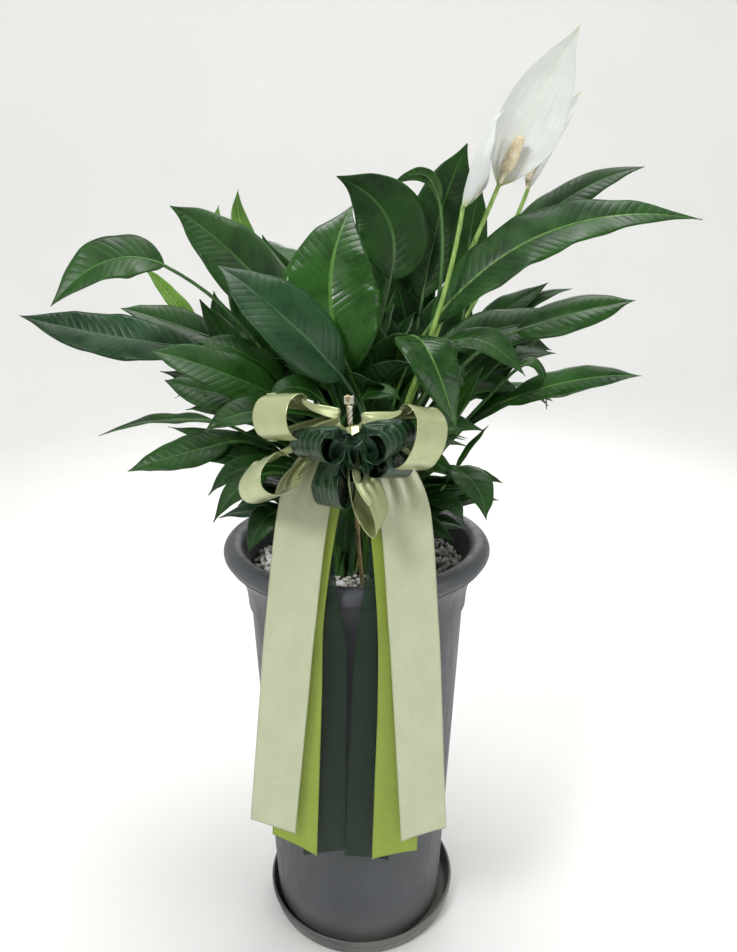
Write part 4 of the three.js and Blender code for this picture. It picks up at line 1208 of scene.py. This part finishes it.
def satin_of(tone, loop=False):
    shade = tuple(getattr(bpy.context.scene.peace_lily_bow, tone))
    kind = f"{tone}_loop" if loop else tone
    # The cream loops take a darker, more olive copy of the cream satin: painted shade for the shaded insides
    # of the rolled loops.
    if kind == "cream_loop":
        shade = (shade[0] * 0.95, shade[1] * 0.98, shade[2] * 0.76)
    return finish_named(f"satin_{kind}", satin, shade, *SATINS[kind])


def ribbon(name, stops, runs, shares, folds, tone, slant=0.0, loop=False, sag=0.0):
    """A ribbon along its stops; where it is drawn in narrower, the spare width goes into pleats."""
    width = bpy.context.scene.peace_lily_bow.ribbon_width
    packed = [(*at, *run, share) for at, run, share in zip(stops, runs, shares)]
    _, length = smooth_line(packed, GUESS_ROWS)
    rows = max(30, int(length / ROW_STEP))
    line, length = smooth_line(packed, rows)
    columns = 25
    points = np.zeros((rows, columns, 3))
    chart = np.zeros((rows, columns, 2))
    for j in range(rows):
        at = line[j, :3]
        ahead, behind = line[min(j + 1, rows - 1), :3], line[max(j - 1, 0), :3]
        tangent = unit(ahead - behind)
        side = line[j, 3:6] - tangent * line[j, 3:6].dot(tangent)
        side = unit(side)
        face = np.cross(side, tangent)
        share = min(1.0, max(0.12, line[j, 6]))
        height = width / (2 * folds) * math.sqrt(max(0.0, 1 - share * share)) * 0.5
        t = j / (rows - 1)
        for i, u in enumerate(np.linspace(-1, 1, columns)):
            pleat = height * math.cos(math.pi * folds * (u + 1))
            ripple = 0.0007 * noise.noise((u * 1.3, t * length * 28, len(name)))
            crown = -sag * u * u
            down = slant / 1000 * u / 2 * float(eased(t, 0.9, 1.0))
            across = side * (u * share * width / 2)
            points[j, i] = at + across + face * (pleat + ripple + crown) - tangent * down
            chart[j, i] = (0.5 + 0.5 * u, t * length / width)
    piece = sheet(name, points, chart)
    piece.data.materials.append(satin_of(tone, loop))
    apply(piece, "SOLIDIFY", thickness=0.0003, offset=0)
    return piece, length


def build_tails():
    for name, (layer, line, slant, tone) in TAILS.items():
        top, rim, bend, end = line
        front = -1000 * (TAIL_FRONT + layer * TAIL_LAYER)
        back = -1000 * (TAIL_BACK + layer * (TAIL_LAYER - 0.001))
        stops = [
            from_rim((top[0] / 3, -1000 * KNOT_BACK - 2 * layer, KNOT_HEIGHT)),
            from_rim((top[0], back, top[1])),
            from_rim((rim[0], front, rim[1])),
            from_rim((bend[0], front - 1.2, bend[1])),
            from_rim(((bend[0] + end[0]) / 2, front + 0.4, (bend[1] + end[1]) / 2)),
            from_rim((end[0], front, end[1])),
        ]
        runs = [(1.0, 0.0, 0.0)] * len(stops)
        shares = [PINCH, 0.97, 1.0, 1.0, 1.0, 1.0]
        piece, length = ribbon(f"{name}_hung", stops, runs, shares, 3, tone, slant, False, 0.0012)
        finish(piece, f"{tone}_satin", name)


def loop_stops(layer, middle, axis, radii):
    """The stops of one roll of ribbon: out of the knot, round the roll and back to the knot."""
    width = unit(np.array(axis, float))
    middle = np.array(middle, float) / 1000
    out = unit(middle - width * middle.dot(width))
    up = np.cross(width, out)
    if up[2] < 0:
        up = -up
    aim = math.atan2(middle[2], middle[0])
    side = 1 if middle[0] > 0 else -1
    knot = KNOT - np.array([0, layer * LOOP_LAYER, 0])

    def knot_end(degrees):
        turn = aim + math.radians(degrees)
        return knot + KNOT_RING * np.array([math.cos(turn), 0, math.sin(turn)])

    stops = [knot_end(KNOT_SPLIT * side)]
    for degrees in (140, 95, 45, 0, -45, -95, -140):
        turn = math.radians(degrees)
        stops.append(
            middle + knot + out * radii[0] / 1000 * math.cos(turn) + up * radii[1] / 1000 * math.sin(turn)
        )
    stops.append(knot_end(-KNOT_SPLIT * side))
    lean = np.array([0, 1.0 if width[1] > 0 else -1.0, 0])
    runs = [lean] + [width] * 7 + [lean]
    shares = [KNOT_PINCH, 0.82, 1, 1, 1, 1, 1, 0.82, KNOT_PINCH]
    return stops, runs, shares


def build_loops():
    for name, (layer, middle, axis, radii, tone) in (LOOPS | FOLDS).items():
        piece, length = ribbon(
            f"{name}_rolled", *loop_stops(layer, middle, axis, radii), 3, tone, 0.0, True
        )
        finish(piece, f"{tone}_satin", *([name] if name in LOOPS else []))


def build_stake():
    top = from_rim((-7, -136, 181))
    seat = np.array([0.005, -0.062, GRAVEL_TOP])
    along = unit(top - seat)
    bottom = seat - along * 0.060
    count = 90
    line, radii = [], []
    for k in range(count):
        t = k / (count - 1)
        wander = 0.0006 * math.sin(9 * t + 1)
        line.append(bottom + (top - bottom) * t + np.array([wander, 0, 0]))
        node = sum(math.exp(-(((t - place) / 0.008) ** 2)) for place in (0.18, 0.47, 0.78))
        radii.append(0.0022 * (1 - 0.06 * t) + 0.0005 * node)
    stake = tube("bow_stake_cane", line, radii, 14)
    stake.data.materials.append(finish_named("bamboo_cane", bamboo))
    finish(stake, "wood", "bow_stake")


TIE_STEPS = 96
TIE_TURNS = 4
STUB_STEPS = 40
STUB_REACH = 0.0009


def build_tie():
    """A paper-covered wire wound round the stake and the knot, its two ends twisted into a stub."""
    low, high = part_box("bow_tie")
    middle = np.array((low + high) / 2)
    line = []
    for k in range(TIE_STEPS):
        turn = math.tau * TIE_TURNS * k / TIE_STEPS
        rise = -0.0035 + 0.007 * k / TIE_STEPS
        line.append(middle + np.array([0.0036 * math.cos(turn), 0.0036 * math.sin(turn), rise]))
    tie = tube("bow_tie_wire", line, [0.0008] * len(line), 8)
    for side in (0.0, math.pi):
        stub = []
        for k in range(STUB_STEPS):
            turn = math.tau * 1.6 * k / STUB_STEPS + side
            out = STUB_REACH * math.cos(turn)
            forward = STUB_REACH * math.sin(turn) - 0.006
            stub.append(KNOT + np.array([out, forward, -0.004 + 0.015 * k / STUB_STEPS]))
        strand = tube("bow_tie_strand", stub, [0.0010] * STUB_STEPS, 8)
        joined(tie, strand)
    tie.data.materials.append(finish_named("tie_paper", tie_paper))
    finish(tie, "tie", "bow_tie")


# ---- Stage --------------------------------------------------------------


def soft_light(name, place, target, size, power, tone=(1, 1, 1)):
    deselect()
    bpy.ops.object.light_add(type="AREA", location=place)
    lamp = bpy.context.active_object
    lamp.name = name
    lamp.data.shape = "DISK"
    lamp.data.size = size
    lamp.data.energy = power
    lamp.data.color = tone
    lamp.rotation_euler = (Vector(target) - Vector(place)).to_track_quat("-Z", "Y").to_euler()


def floor_finish(name, tone):
    paint = Finish(name)
    cloud = paint.noise(1.6, 3)
    body = paint.mix(paint.span(cloud, 0.3, 0.7), scaled(tone, 0.985), scaled(tone, 1.01))
    paint.shade(base_color=body, roughness=0.75)
    return paint.material


def build_stage():
    settings = bpy.context.scene.peace_lily_stage
    outline = [(2.6, 0.0)] + arc((2.6, 1.2), (1.2, 1.2), -80, 0, 12) + [(3.8, 4.2)]
    floor = turned("studio_floor", outline, 96, filled=True)
    floor.data.materials.append(finish_named("floor_pale", floor_finish, tuple(settings.floor)))
    soft_light("key_light", (-1.3, -1.7, 2.3), (0, 0, 0.6), 0.7, settings.key_power)
    soft_light("fill_light", (1.9, -1.2, 1.3), (0, 0, 0.5), 1.5, settings.key_power * 0.38)
    soft_light("top_light", (0.2, 0.3, 2.9), (0, 0, 0.6), 1.4, settings.key_power * 0.85)
    soft_light("back_light", (0.4, 2.3, 1.6), (0, 0, 0.6), 1.6, settings.key_power * 0.35)
    soft_light("backdrop_light", (0.0, 0.9, 3.4), (0, 3.6, 1.6), 2.2, settings.key_power * 0.9)
    world = bpy.data.worlds.new("studio")
    world.use_nodes = True
    sky = world.node_tree.nodes["Background"]
    sky.inputs[0].default_value = (1, 1, 1, 1)
    sky.inputs[1].default_value = settings.sky_power
    bpy.context.scene.world = world
    bpy.context.scene.view_settings.view_transform = "Standard"
    deselect()
    bpy.ops.object.camera_add(location=(0, -0.7565, 0.7809))
    camera = bpy.context.active_object
    camera.name = "photo_camera"
    camera.rotation_euler = (math.radians(90 - 17.37), 0, math.radians(-0.96))
    camera.data.sensor_width = 36
    camera.data.lens = settings.lens
    camera.data.clip_start = 0.02
    bpy.context.scene.camera = camera


# ---- Operators ----------------------------------------------------------


class PEACE_LILY_OT_pot(bpy.types.Operator):
    """Turn the grey pot with its rolled lip and collar"""

    bl_idname = "peace_lily.pot"
    bl_label = "Pot"

    def execute(self, context):
        build_pot()
        return {"FINISHED"}


class PEACE_LILY_OT_saucer(bpy.types.Operator):
    """Turn the saucer under the pot"""

    bl_idname = "peace_lily.saucer"
    bl_label = "Saucer"

    def execute(self, context):
        build_saucer()
        return {"FINISHED"}


class PEACE_LILY_OT_filling(bpy.types.Operator):
    """Fill the pot with soil and strew gravel over it"""

    bl_idname = "peace_lily.filling"
    bl_label = "Soil and Gravel"

    def execute(self, context):
        build_soil()
        build_gravel()
        return {"FINISHED"}


class PEACE_LILY_OT_leaves(bpy.types.Operator):
    """Grow the large leaves, each on its petiole"""

    bl_idname = "peace_lily.leaves"
    bl_label = "Large Leaves"

    def execute(self, context):
        build_leaves()
        return {"FINISHED"}


class PEACE_LILY_OT_small_leaves(bpy.types.Operator):
    """Grow the small leaves between the large ones and those that fill the crown"""

    bl_idname = "peace_lily.small_leaves"
    bl_label = "Small Leaves"

    def execute(self, context):
        build_small_leaves()
        build_inner_leaves()
        return {"FINISHED"}


class PEACE_LILY_OT_flowers(bpy.types.Operator):
    """Grow the three flowers with their stalks"""

    bl_idname = "peace_lily.flowers"
    bl_label = "Flowers"

    def execute(self, context):
        build_flowers()
        return {"FINISHED"}


class PEACE_LILY_OT_stake(bpy.types.Operator):
    """Stand the cane in the gravel and wind the wire tie round its top"""

    bl_idname = "peace_lily.stake"
    bl_label = "Cane and Tie"

    def execute(self, context):
        build_stake()
        build_tie()
        return {"FINISHED"}


class PEACE_LILY_OT_tails(bpy.types.Operator):
    """Hang the six ribbon tails over the rim"""

    bl_idname = "peace_lily.tails"
    bl_label = "Ribbon Tails"

    def execute(self, context):
        build_tails()
        return {"FINISHED"}


class PEACE_LILY_OT_loops(bpy.types.Operator):
    """Roll the bow's loops"""

    bl_idname = "peace_lily.loops"
    bl_label = "Bow Loops"

    def execute(self, context):
        build_loops()
        return {"FINISHED"}


class PEACE_LILY_OT_stage(bpy.types.Operator):
    """Lay the floor and set the lights and the camera"""

    bl_idname = "peace_lily.stage"
    bl_label = "Stage"

    def execute(self, context):
        build_stage()
        return {"FINISHED"}


OPERATORS = (
    PEACE_LILY_OT_stage,
    PEACE_LILY_OT_pot,
    PEACE_LILY_OT_saucer,
    PEACE_LILY_OT_filling,
    PEACE_LILY_OT_stake,
    PEACE_LILY_OT_leaves,
    PEACE_LILY_OT_small_leaves,
    PEACE_LILY_OT_flowers,
    PEACE_LILY_OT_tails,
    PEACE_LILY_OT_loops,
)
SETTINGS = {
    "peace_lily_pot": PotSettings,
    "peace_lily_plant": PlantSettings,
    "peace_lily_bow": BowSettings,
    "peace_lily_stage": StageSettings,
}


class VIEW3D_PT_peace_lily(bpy.types.Panel):
    """Sizes, colours and the operators that build the plant"""

    bl_label = "Peace Lily"
    bl_space_type = "VIEW_3D"
    bl_region_type = "UI"
    bl_category = "Peace Lily"

    def draw(self, context):
        for name in SETTINGS:
            settings = getattr(context.scene, name)
            box = self.layout.box()
            for key in settings.bl_rna.properties.keys():
                if key not in {"rna_type", "name"}:
                    box.prop(settings, key)
        for kind in OPERATORS:
            self.layout.operator(kind.bl_idname)


def register():
    for kind in (*SETTINGS.values(), *OPERATORS, VIEW3D_PT_peace_lily):
        bpy.utils.register_class(kind)
    for name, kind in SETTINGS.items():
        setattr(bpy.types.Scene, name, PointerProperty(type=kind))


def unregister():
    for name in SETTINGS:
        delattr(bpy.types.Scene, name)
    for kind in reversed((*SETTINGS.values(), *OPERATORS, VIEW3D_PT_peace_lily)):
        bpy.utils.unregister_class(kind)


def main():
    register()
    for kind in OPERATORS:
        group, name = kind.bl_idname.split(".")
        getattr(getattr(bpy.ops, group), name)()


if __name__ == "__main__":
    main()
